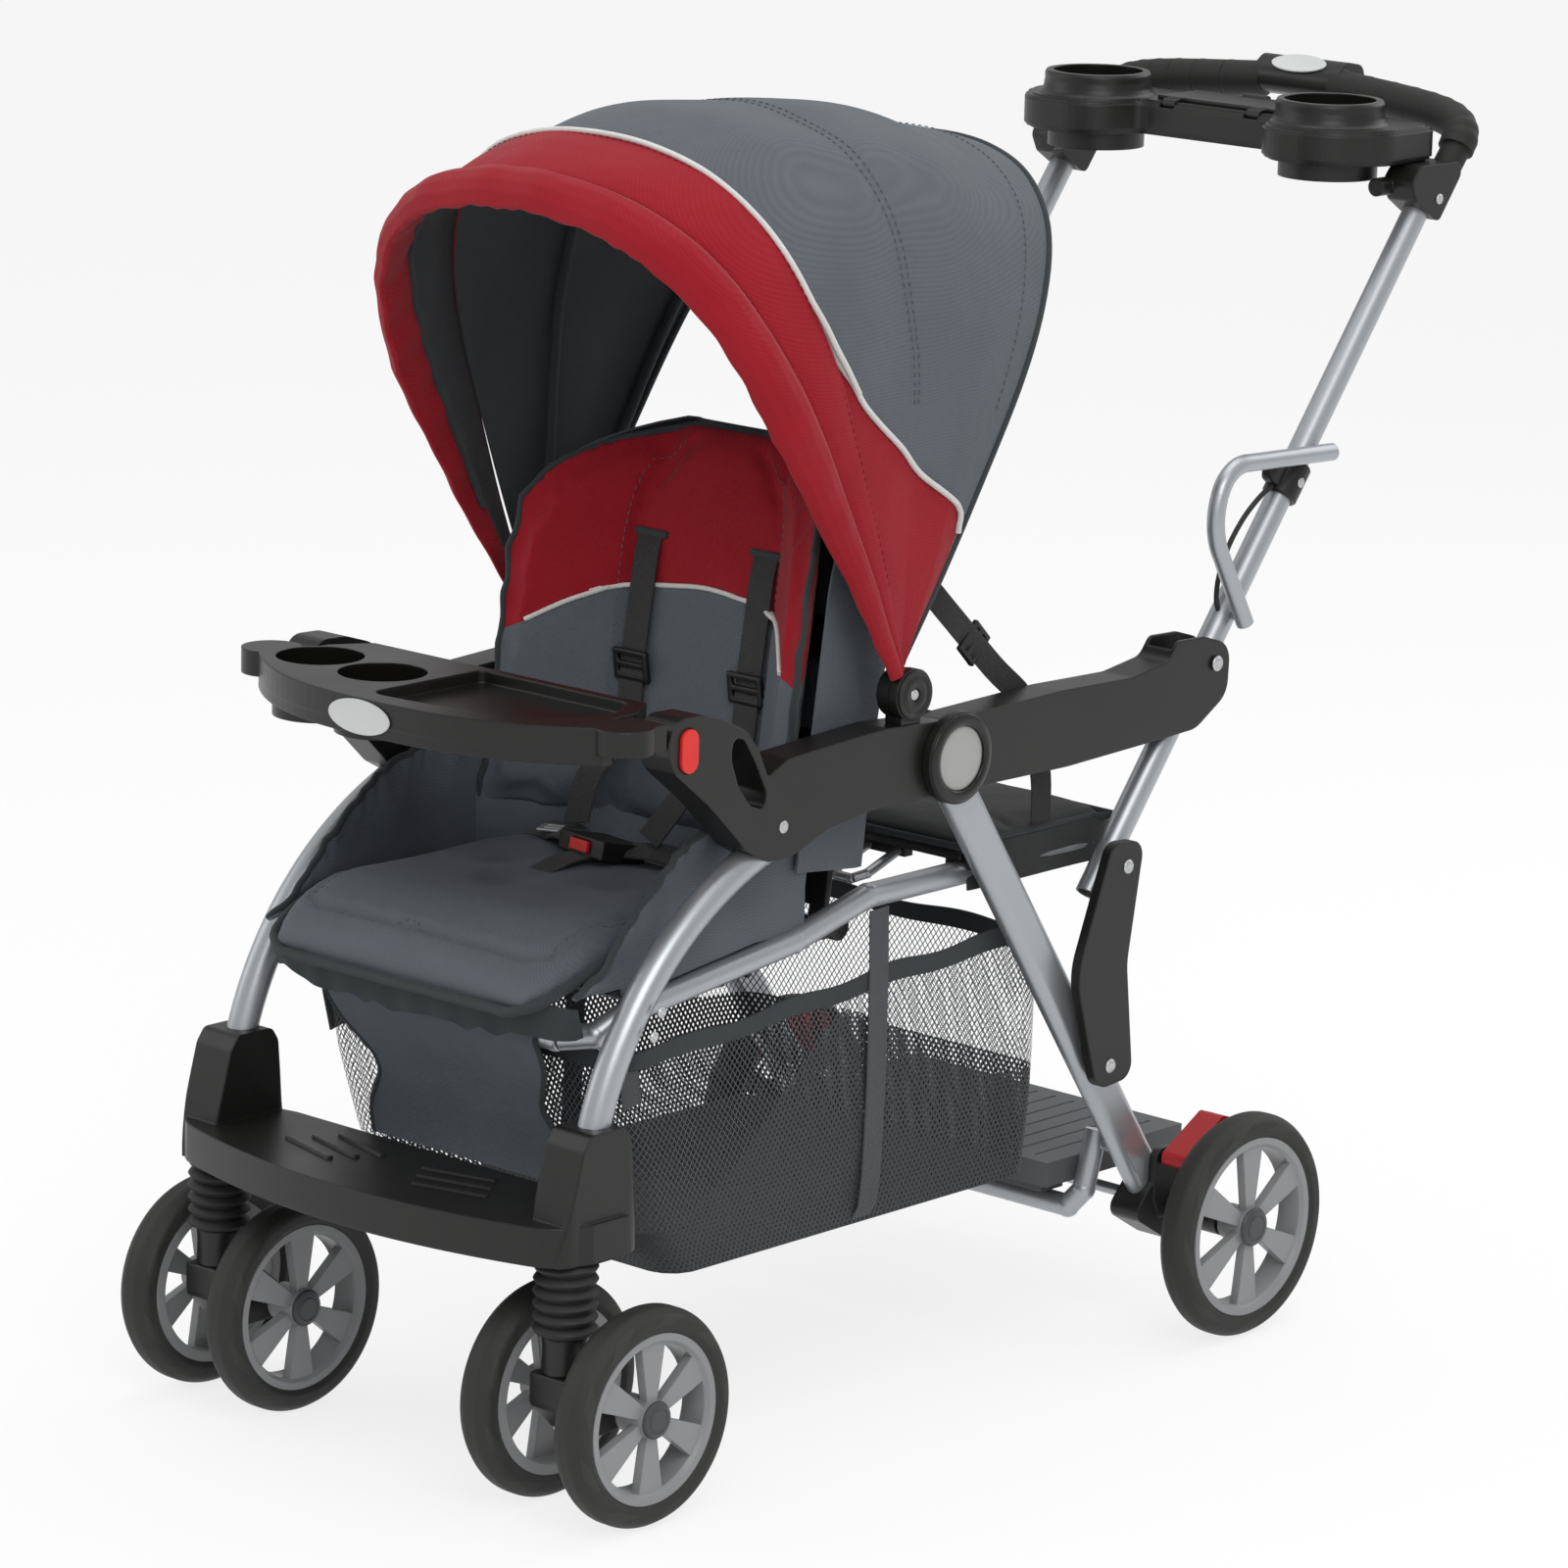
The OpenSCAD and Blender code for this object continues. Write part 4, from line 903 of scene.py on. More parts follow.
class STROLLER_OT_backrest(bpy.types.Operator):
    """Makes the padded backrest with its wings, piping, seams and binding"""
    bl_idname = "stroller.backrest"
    bl_label = "Backrest"

    def execute(self, context):
        def at(u, v, side):
            u, v = u - 0.5, v - 0.5
            x, y, z = back_middle(u, v)
            t = BACK_T * (0.25 + 0.23 * pad_edge(u, v)) * 0.96
            crown = 3.0 * pad_edge(u, v) if side > 0 else 0.0
            lean = clamp((abs(u) - 0.2) / 0.22) * 0.85
            d = (t + crown) * side
            return back_to_frame(x - math.copysign(d * lean, u), y - d * math.sqrt(1 - lean * lean * 0.9), z)
        pad = block_grid("backrest_pad", 44, 44, at)
        swell(pad, sizes().swell)
        skin = surface_of(pad)

        def on_front(u, v, lift=0.0):
            ahead = Vector((0, -0.03, 0)) if abs(u) < 0.3 else -Vector((math.copysign(0.03, u), 0, 0))
            hit, normal, _, _ = skin.find_nearest(back_point(u, v) + ahead)
            return hit + normal * lift
        seams = [[on_front(s * 0.215, v) for v in np.linspace(-0.48, 0.47, 30)] for s in (-1, 1)]
        edge_line = []
        for u in np.linspace(-0.49, 0.49, 60):
            best, gap = 0.0, 9.0
            for v in np.linspace(-0.4, 0.45, 120):
                p = on_front(float(u), float(v))
                drop = max(0.0, BACK_LINE_Y - p.y) * BACK_LINE_DROP
                off = abs(p.z - (BACK_LINE_Z - p.x ** 2 * BACK_LINE_CURVE - drop))
                if off < gap:
                    best, gap = float(v), off
            edge_line.append(on_front(float(u), best, 0.0006))
        press(pad, seams, 0.0055, 0.006)
        press(pad, [edge_line], 0.002, 0.004)
        apply(pad, "SUBSURF", levels=1, render_levels=1)
        smooth(pad, 80)
        finish_piece(pad, "seat_back", "back_cloth", "red_fabric", "seat_back_pad")
        skin = surface_of(pad)
        line = [skin.find_nearest(p)[0] + skin.find_nearest(p)[1] * 0.0008 for p in edge_line]
        tube_piece("backrest_piping", rounded_path(line[::4] + line[-1:], 0.006), sizes().piping * 0.85,
                   "seat_back", "piping", "grey_fabric")
        rim = [back_point(0.497, v) for v in np.linspace(-0.49, 0.44, 30)]
        rim += [back_point(u, 0.497) for u in np.linspace(0.42, -0.42, 30)]
        rim += [back_point(-0.497, v) for v in np.linspace(0.44, -0.49, 30)]
        rim = [skin.find_nearest(p)[0] for p in rim]
        tube_piece("backrest_binding", rounded_path(rim, 0.008), 0.0026, "seat_back", "dark_binding",
                   "grey_fabric")
        for k, s in enumerate((-1, 1)):
            way = [on_front(s * 0.235, float(v)) for v in np.linspace(-0.46, 0.46, 120)]
            hits = [skin.find_nearest(p) for p in way]
            row = stitches(f"backrest_stitch_{k}", [h[0] for h in hits], [h[1] for h in hits])
            finish_piece(row, "seat_back", "grey_cloth", "grey_fabric")

        def cover_at(u, v):
            w, h = u - 0.5, (v - 0.5) * 0.97
            x, _, z = back_middle(w, h)
            fade = 1.0 if h < 0.16 else max(0.0, 1 - ((h - 0.16) / 0.34) ** 2)
            turn = max(0.0, abs(w) - 0.455) / 0.045
            wave = 1.2 * math.sin(x / 23 + z / 31) * (1 - turn)
            return back_to_frame(x * 1.012, 12 - 95 * turn ** 1.2 * fade + wave, z)
        cover, area = sheet_piece("back_cover", 80, 44, cover_at, 0.002, "seat_back", "grey_cloth",
                                  "grey_fabric")
        for k, s in enumerate((-1, 1)):
            slot = primitive(f"strap_slot_{k}", "cube", size=1)
            p = skin.find_nearest(here(63 * s, -392, 684))[0]
            for v in slot.data.vertices:
                v.co = p + Vector((v.co.x * 0.036, v.co.y * 0.006, v.co.z * 0.0065))
            apply(slot, "BEVEL", width=0.002, segments=2)
            finish_piece(smooth(slot), "seat_back", "dark_binding", "grey_fabric")
        return {"FINISHED"}


class STROLLER_OT_seat(bpy.types.Operator):
    """Makes the seat pad, the side panels, the calf panel and the rear seat pad"""
    bl_idname = "stroller.seat"
    bl_label = "Seat"

    def execute(self, context):
        self.cushion()
        self.sides()
        self.front()
        self.bench()
        return {"FINISHED"}

    def cushion(self):
        def at(u, v, side):
            u, v = u - 0.5, v - 0.5
            x, y, z = seat_top(u, v)
            t = SEAT_T * (0.2 + 0.3 * pad_edge(u, v))
            return here(x, y, z + side * t + (5 * pad_edge(u, v) if side > 0 else 0))
        pad = block_grid("seat_cushion", 40, 40, at)
        swell(pad, sizes().swell)
        skin = surface_of(pad)

        def top(u, v):
            x, y, z = seat_top(u, float(v))
            return skin.find_nearest(here(x, y, z + 40))
        loop = [(-0.44, v) for v in np.linspace(-0.44, 0.40, 24)]
        loop += [(u, 0.435) for u in np.linspace(-0.38, 0.38, 24)]
        loop += [(0.44, v) for v in np.linspace(0.40, -0.44, 24)]
        dimples = [[top(u, -0.12)[0], top(u * 1.05, -0.14)[0]] for u in (-0.2, 0.2)]
        dimples += [[top(-0.03, 0.03)[0], top(-0.03, 0.06)[0]]]
        seams = [[top(u, v)[0] for u, v in loop]]
        press(pad, dimples, 0.006, 0.020)
        press(pad, seams, 0.003, 0.0045)
        apply(pad, "SUBSURF", levels=1, render_levels=1)
        smooth(pad, 80)
        finish_piece(pad, "front_body", "grey_cloth", "grey_fabric", "seat_pad")
        rim = [(0.5, v) for v in np.linspace(-0.45, 0.46, 24)]
        rim += [(u, 0.5) for u in np.linspace(0.46, -0.46, 24)]
        rim += [(-0.5, v) for v in np.linspace(0.46, -0.45, 24)]
        tube_piece("seat_edge_binding", rounded_path([here(*seat_top(u, v)) for u, v in rim], 0.008), 0.0040,
                   "front_body", "dark_binding", "grey_fabric")
        skin = surface_of(pad)
        hits = [top(u, v) for u, v in loop]
        row = stitches("seat_stitch", [h[0] for h in hits], [h[1] for h in hits])
        finish_piece(row, "front_body", "grey_cloth", "grey_fabric")

    def sides(self):
        ys = [-712, -684, -650, -600, -577, -540, -500, -440]
        tops = [400, 414, 452, 494, 506, 516, 522, 526]
        turn = dict(start=tuple(here(0, -585, 470)), end=tuple(here(0, -496, 470)))
        for k, s in enumerate((1, -1)):
            def side_at(u, v):
                z_rear = 408 + 118 * v
                rear = back_point(s * 0.5, max(-0.5, (z_rear - 445) / BACK_H - 0.5))
                y = -712 + ((rear.y - Y_SHIFT) * 1000 + 35 + 712) * u
                hi = table(y, ys, tops)
                lo = 398.5 if y < -660 else min(408.0, 391.3 + (y + 645) * 0.125)
                belly = 3.0 * math.sin(math.pi * v) * math.sin(math.pi * u)
                gather = (1.6 * math.sin(u * 95 + 2 * math.sin(u * 31)) * max(0.0, v - 0.7) * 3.4
                          + 3.2 * math.sin(u * 24 + v * 5 + s) * math.sin(math.pi * v))
                p = here(s * (168.2 - belly - 1.6 * u), y, lo + 0.4 + (hi - lo - 0.8) * v)
                pull = max(0.0, (u - 0.7) / 0.3) ** 2
                p.z += (z_rear / 1000 - p.z) * pull
                crumple = 0.0012 * ripple(p, 50, 3 + s) * math.sin(math.pi * v) - gather / 1000
                return p + Vector((s * crumple * (1 - pull), 0, 0))
            nodes = ("seat_wings",) if k == 0 else ()
            wing, area = sheet_piece(f"seat_side_{k}", 72, 26, side_at, 0.0022, None, "grey_cloth",
                                     "grey_fabric", *nodes)
            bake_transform(wing)
            hem = [side_at(u, 1.0) for u in np.linspace(0.0, 1.0, 40)]
            band = tube_piece(f"seat_side_hem_{k}", rounded_path(hem, 0.006), 0.0028, None, "dark_binding",
                              "grey_fabric")
            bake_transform(band)

        def crease(u, v):
            w = u - 0.5
            top = back_point(w * 0.985, -0.448)
            height = 0.421 + 0.004 * (1 - abs(2 * w) ** 4)
            low = Vector((top.x * 0.985, min(top.y, here(0, -441, 0).y), height))
            p = low + (top - low) * v
            return p + Vector((0, -0.0025 * math.sin(math.pi * v) * (1 + 0.5 * math.sin(w * 60)), 0))
        join, area = sheet_piece("seat_join", 60, 8, crease, 0.0022, None, "grey_cloth", "grey_fabric")
        tuple(here(0, -430, 420))
        tuple(here(0, -430, 446))
        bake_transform(join)

    def front(self):
        def skirt_at(u, v):
            x = (u - 0.5) * 336
            bow = math.sqrt(max(0.0, 1 - (x / 168) ** 2))
            y = -708 - 20 * bow
            drop = 26 + 12 * bow + 2.5 * math.sin(u * 41 + 2 * math.sin(u * 17))
            return here(x, y + 5 * v + 1.5 * v * math.sin(u * 58),
                        396 - drop * v - 6 * (1 - v) * abs(2 * u - 1) ** 3)
        skirt, area = sheet_piece("seat_skirt", 84, 8, skirt_at, 0.0018, "front_body", "dark_binding",
                                  "grey_fabric")

        def calf_at(u, v):
            z = 375 - 152 * v
            y = table(z, [222, 262, 300, 340, 352, 376], [-644, -656, -670, -694, -701, -703])
            half = 116 - 26 * math.exp(-((z - 288) / 30) ** 2)
            x = (u - 0.5) * 2 * half
            fold = 2.6 * math.sin(math.pi * v) * math.sin(x / 31 + 0.4) + 0.9 * math.sin(x / 14 + z / 40)
            return here(x, y + 1.2 - abs(fold) * 0.5 * min(1, v * 3), z)
        calf, area = sheet_piece("calf_flap", 60, 44, calf_at, 0.0024, "front_body", "grey_cloth",
                                 "grey_fabric", "calf_panel")
        for k, u in enumerate((0.0, 1.0)):
            edge = [calf_at(u, v) for v in np.linspace(0, 1, 40)]
            tube_piece(f"calf_flap_binding_{k}", rounded_path(edge, 0.006), 0.0024, "front_body",
                       "dark_binding", "grey_fabric")

    def bench(self):
        def bench(u, v, side):
            u, v = u - 0.5, v - 0.5
            t = 9.0 * (0.2 + 0.3 * pad_edge(u, v, 6))
            crown = 5.0 * pad_edge(u, v, 4) if side > 0 else 0
            return here(u * 341, -181 + v * 184, 446.6 + side * t + crown)
        pad = block_grid("bench_pad", 44, 26, bench)
        swell(pad, 0.003, 0.005)
        press(pad, [[here(x, -202, 454) for x in np.linspace(-160, 160, 20)]], 0.0035, 0.005)
        apply(pad, "SUBSURF", levels=1, render_levels=1)
        finish_piece(smooth(pad, 80), "front_body", "bench_cloth", "black_fabric", "rear_seat_pad")
        rim = [here(x, y, 446.5) for x, y in ((-170, -255), (-170, -107), (-162, -89), (162, -89),
                                              (170, -107), (170, -255), (162, -273), (-162, -273))]
        loop = rounded_path(rim + rim[:1], 0.008)
        tube_piece("bench_binding", loop[:-1], 0.0030, "front_body", "dark_binding", "black_fabric", True)
        plan = [(174, -270), (174.5, -180), (174, -110), (168, -89), (150, -85), (0, -84.5)]
        plan += [(-x, y) for x, y in plan[-2::-1]]
        run = rounded_path([(x / 1000, y / 1000, 0) for x, y in plan], 0.004)

        def apron_at(u, v):
            p = run[min(len(run) - 1, int(round(u * (len(run) - 1))))]
            side = clamp((abs(p.x) - 0.150) / 0.02)
            k = 1 + (0.016 * v + 0.004 * v * math.sin(u * 70 + 2 * math.sin(u * 23))) * side
            back = (0.002 * v + 0.0015 * v * math.sin(u * 61)) * (1 - side)
            return Vector((p.x * k, p.y + back + Y_SHIFT, 0.4455 - v * (0.034 - 0.008 * (1 - side))))
        apron, area = sheet_piece("bench_apron", len(run) - 1, 8, apron_at, 0.0016, "front_body",
                                  "black_cloth", "black_fabric")


# straps

def slide_buckle(name, width, depth, thick):
    """A two slot strap slide, lying flat at the origin."""
    obj = primitive(name, "grid", x_subdivisions=3, y_subdivisions=5, size=1)
    xs = [-0.5, -0.36, 0.36, 0.5]
    ys = [-0.5, -0.32, -0.09, 0.09, 0.32, 0.5]
    for v in obj.data.vertices:
        i, j = round((v.co.x + 0.5) * 3), round((v.co.y + 0.5) * 5)
        v.co = Vector((xs[i] * width, ys[j] * depth, 0))
    edit_faces(obj, lambda p: abs(p.center.x) < 0.3 * width and 0.09 < abs(p.center.y) / depth < 0.32,
               (bpy.ops.mesh.delete, {"type": "FACE"}))
    apply(obj, "SOLIDIFY", thickness=thick, offset=0)
    apply(obj, "BEVEL", width=min(thick * 0.4, 0.0012), segments=3, limit_method="ANGLE")
    return smooth(tidy(obj), 40)


class STROLLER_OT_harness(bpy.types.Operator):
    """Makes the webbing of the five point harness with its adjusters and slides"""
    bl_idname = "stroller.harness"
    bl_label = "Harness"

    def execute(self, context):
        w = sizes().webbing
        for k, s in enumerate((1, -1)):
            pts = [back_to_frame(63 * s, -34, 288), back_to_frame(63 * s, -40, 270),
                   back_to_frame(63 * s, -42, 190), back_to_frame(61 * s, -44, 120),
                   here(52 * s, -470, 500), here(40 * s - 4, -494, 464)]
            strap = ribbon(f"shoulder_strap_{k}", pts, (1, 0, 0), w, 0.0018)
            nodes = ("shoulder_straps",) if k == 0 else ()
            finish_piece(strap, None, "webbing", "black_webbing", *nodes)
            tuple(back_to_frame(0, -40, 150))
            tuple(here(0, -470, 490))
            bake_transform(strap)
            body = slide_buckle(f"shoulder_adjuster_{k}", 0.037, 0.026, 0.0046)
            lean = Matrix.Rotation(math.pi / 2 + BACK_LEAN, 4, "X")
            body.data.transform(Matrix.Translation(back_to_frame(62.5 * s, -43.5, 176)) @ lean)
            finish_piece(body, "seat_back", "black", "black_plastic")
        for k, s in enumerate((1, -1)):
            pts = [here(-4 + 27 * s, -503, 455), here(-4 + 52 * s, -492, 455), here(84 * s, -476, 447),
                   here(118 * s, -458, 441), here(140 * s, -447, 434)]
            lap = ribbon(f"lap_strap_{k}", pts, (0, 1, 0.25), w, 0.0018)
            finish_piece(lap, "front_body", "webbing", "black_webbing")
            ring = slide_buckle(f"lap_slide_{k}", 0.033, 0.020, 0.0026)
            turn = Matrix.Rotation(math.radians(-24 * s), 4, "Z")
            ring.data.transform(Matrix.Translation(here(78 * s, -478, 450.5)) @ turn)
            finish_piece(ring, "front_body", "steel", "steel")
        pts = [here(-6, -527, 450), here(-8, -548, 448), here(-11, -580, 440), here(-13, -603, 436.5)]
        crotch = ribbon("crotch_strap", pts, (1, 0, 0), w, 0.0018)
        finish_piece(crotch, "front_body", "webbing", "black_webbing", "lap_straps")
        return {"FINISHED"}


class STROLLER_OT_straps(bpy.types.Operator):
    """Makes the recline strap with its adjuster behind the seat"""
    bl_idname = "stroller.straps"
    bl_label = "Recline strap"

    def execute(self, context):
        for k, s in enumerate((1, -1)):
            pts = [here(x * s, y, z) for x, y, z in (
                (128, -340, 700), (150, -318, 676), (165, -290, 640), (171, -240, 590), (173, -205, 560),
                (173.5, -190, 530), (173, -178, 490), (169, -172, 451))]
            band = ribbon(f"recline_strap_{k}", pts, (0.2, 0.7, 0.7), 0.02, 0.0016)
            finish_piece(band, None, "webbing", "black_webbing")
            body = slide_buckle(f"recline_adjuster_{k}", 0.03, 0.024, 0.005)
            turn = Matrix.Rotation(math.radians(90 * s), 4, "Y") @ Matrix.Rotation(math.radians(-45), 4, "Z")
            body.data.transform(Matrix.Translation(here(168.5 * s, -262, 612)) @ turn)
            finish_piece(body, None, "black", "black_plastic")
            for piece in (band, body):
                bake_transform(piece)
        return {"FINISHED"}


# basket

def basket_outline(h):
    """Front, rear and half width of the basket at a share of the depth."""
    front = table(h, [0, 0.3, 0.65, 0.88, 1], [-666, -655, -632, -612, -590])
    rear = table(h, [0, 0.5, 1], [-148, -149.5, -154])
    half = table(h, [0, 0.25, 0.7, 1], [165.2, 163.5, 164.0, 160])
    return front, rear, half


def basket_ring(t, h):
    """Point of the basket's rounded plan at a share of the way round and a share of the depth."""
    front, rear, half = basket_outline(h)
    r = 26.0
    width, length, arc = 2 * half - 2 * r, rear - front - 2 * r, r * math.pi / 2
    d = (t % 1.0) * (2 * width + 2 * length + 4 * arc)
    for run, x, y, ax, ay, cx, cy, turn in (
            (width, half - r, rear, -1, 0, -half + r, rear - r, 90),
            (length, -half, rear - r, 0, -1, -half + r, front + r, 180),
            (width, -half + r, front, 1, 0, half - r, front + r, 270),
            (length, half, front + r, 0, 1, half - r, rear - r, 0)):
        if d <= run:
            return x + ax * d, y + ay * d
        d -= run
        if d <= arc:
            a = math.radians(turn) + d / r
            return cx + r * math.cos(a), cy + r * math.sin(a)
        d -= arc
    return half - r, rear


class STROLLER_OT_basket(bpy.types.Operator):
    """Makes the sagging net basket with its hem, floor and straps"""
    bl_idname = "stroller.basket"
    bl_label = "Basket"

    def execute(self, context):
        def wall_at(u, v):
            x, y = basket_ring(u, v)
            top = table(y, [-668, -640, -585, -473, -346, -202, -172, -148],
                        [346, 345, 346, 353, 362, 368, 362, 352])
            z = top + (152 - top) * v
            bulge = 2.0 * math.sin(math.pi * v) * ripple((x / 90, y / 90, z / 140), 1.0, 0.7)
            wave = 2.2 * (1 - v) * math.sin(y / 19.0 + x / 23.0) * math.exp(-v * 5)
            k = 1 + (bulge * 0.4 - 0.6) / 165
            return here(x * k, y, z + wave)
        wall = sheet_grid("basket_wall", 220, 26, wall_at)
        uv = wall.data.uv_layers.active.data
        for loop in wall.data.loops:
            u, v = uv[loop.index].uv
            uv[loop.index].uv = (u * 1.6, v * 0.21)
        tidy(wall)
        finish_piece(smooth(wall, 80), "front_body", "net", "mesh_fabric", "basket")

        def floor_at(u, v):
            x, y = basket_ring(u, 1.0)
            middle = -372.0
            k = 1 - v * 0.985
            sag = 3.5 * math.sin(math.pi * 0.5 * v) + 1.5 * ripple((x * k / 70, y / 70, 0), 1.0, 2.0) * v
            return here(x * k * 0.992, middle + (y - middle) * k * 0.992, 152 - sag)
        floor = sheet_grid("basket_floor", 120, 16, floor_at)
        tidy(floor)
        apply(floor, "SOLIDIFY", thickness=0.0016, offset=0)
        finish_piece(smooth(floor, 70), "front_body", "strap", "mesh_fabric")

        def hem_at(u, v):
            p = wall_at(u, v * 0.075)
            x, y = basket_ring(u, 0.0)
            out = Vector((x / 165.0, 0, 0)) if abs(x) > 139 else Vector((0, math.copysign(1, y + 400), 0))
            return p + out.normalized() * 0.0006
        sheet_piece("basket_hem", 220, 3, hem_at, 0.0022, "front_body", "dark_binding", "mesh_fabric")
        straps = (("basket_strap", 0.022, ((169.5, -368, 412), (167.5, -364, 345), (166.8, -364, 240),
                                           (164.6, -368, 166), (150, -370, 149))),
                  ("basket_front_strap", 0.02, ((158, -655, 372), (163, -650, 345), (162, -640, 300))))
        for k, s in enumerate((1, -1)):
            for name, width, way in straps:
                band = ribbon(f"{name}_{k}", [here(x * s, y, z) for x, y, z in way], (0, 1, 0), width, 0.0014)
                finish_piece(band, "front_body", "strap", "mesh_fabric")
        return {"FINISHED"}


# frame trim

# turned profiles as radius and height in metres
DISC = [(0, 0.0012), (0.016, 0.0011), (0.0225, 0.0007), (0.0250, 0.0004), (0.0257, 0.0), (0.0257, -0.0006),
        (0, -0.0006)]
BEAD = [(0.0262, -0.0012), (0.0262, 0.0012), (0.0272, 0.0022), (0.0300, 0.0027), (0.0335, 0.0022),
        (0.0358, 0.0010), (0.0364, -0.0004), (0.0364, -0.0012), (0.0262, -0.0012)]
KNOB_RING = [(0.0055, 0.001), (0.0075, 0.0022), (0.0125, 0.0022), (0.0145, 0.0010), (0.0165, 0.0024),
             (0.0190, 0.0022), (0.0198, 0.0), (0.0055, 0.0)]
CLIP = [(0.0112, -0.0165), (0.0140, -0.0165), (0.0152, -0.0150), (0.0152, 0.0150), (0.0140, 0.0165),
        (0.0112, 0.0165), (0.0112, -0.0165)]
# the release cable's way as y and z in millimetres from the rear axle
CABLE = ((80.5, 702.5), (64, 694), (44, 679), (26, 658), (15, 635), (12.5, 616), (16.5, 603.5))


def lathe(name, profile, steps=40, axis="X"):
    """A turned piece: profile points (radius, along) spun round the origin."""
    obj = primitive(name, "circle", vertices=3, radius=0.001)
    bm = bmesh.new()
    last = None
    for r, a in profile:
        v = bm.verts.new((max(r, 0.0), 0, a))
        if last:
            bm.edges.new((last, v))
        last = v
    bm.to_mesh(obj.data)
    bm.free()
    edit(obj, (bpy.ops.mesh.spin, dict(steps=steps, angle=2 * math.pi, center=(0, 0, 0), axis=(0, 0, 1))),
         (bpy.ops.mesh.select_all, {"action": "SELECT"}), *tidy_steps())
    if axis == "X":
        obj.data.transform(Matrix.Rotation(math.pi / 2, 4, "Y"))
    return smooth(obj, 35)


def set_at(obj, point, mirror=False):
    if mirror:
        obj.data.transform(Matrix.Scale(-1, 4, (1, 0, 0)))
        obj.data.flip_normals()
    obj.data.transform(Matrix.Translation(point))
    return obj


def rivet(name, r, h):
    return lathe(name, [(0, h), (r * 0.45, h), (r * 0.5, h * 0.72), (r * 0.62, h * 0.95), (r * 0.85, h * 0.7),
                        (r, h * 0.25), (r, 0), (0, 0)], 24)


def hub_cap(name, r):
    return lathe(name, [(0, 0.0042), (r * 0.55, 0.0040), (r * 0.62, 0.0030), (r * 0.70, 0.0036),
                        (r * 0.92, 0.0026), (r, 0.0008), (r, 0), (0, 0)])


def oval_plate(name, a, b, h):
    """A thin oval plate with a raised rim, left bare."""
    obj = primitive(name, "circle", vertices=56, radius=1, fill_type="NGON")
    for v in obj.data.vertices:
        v.co = Vector((v.co.x * a, v.co.y * b, 0))
    edit(obj, (bpy.ops.mesh.extrude_region_move, {"TRANSFORM_OT_translate": {"value": (0, 0, h)}}))
    edit_faces(obj, lambda p: p.normal.z > 0.9 and p.center.z > h * 0.5,
               (bpy.ops.mesh.inset, {"thickness": 0.0016}),
               (bpy.ops.transform.translate, {"value": (0, 0, -0.0005)}))
    apply(obj, "BEVEL", width=0.0003, segments=2, limit_method="ANGLE")
    return smooth(tidy(obj), 40)


def heads():
    """Rivets and screws of the frame: name, x, y, z, radius and height in millimetres, and body."""
    low = (ARM_END[0] - LINK_DOWN * TUBE[0], ARM_END[1] - LINK_DOWN * TUBE[1])
    run = (LEG_END[0] - PIVOT_AT[0], LEG_END[1] - PIVOT_AT[1])
    share = LINK_ALONG / math.hypot(*run)
    end = (PIVOT_AT[0] + run[0] * share, PIVOT_AT[1] + run[1] * share)
    return (("leg_rivet", 212.3, -663, 389, 4.5, 2.2, "front_body"),
            ("leg_rivet_low", 212.3, -671, 371, 4.5, 2.2, "front_body"),
            ("arm_screw", 210.0, -528, 511, 5.0, 1.4, "front_body"),
            ("pivot_rivet", 212.0, *ARM_END, 6.5, 2.4, "handle"),
            ("link_rivet", 220.0, *low, 6.0, 2.2, "fold_links"),
            ("link_rivet_low", 220.0, *end, 6.0, 2.2, "fold_links"),
            ("bracket_rivet", 209.0, 277, 926, 4.5, 2.0, "handle"))


def head(side, s, name, x, y, z, r, h, body):
    """A rivet or screw head; its place, radius and height are in millimetres."""
    obj = set_at(rivet(f"{name}_{side}", r / 1000, h / 1000), here(s * x, y, z), s < 0)
    finish_piece(obj, body, "steel", "steel")


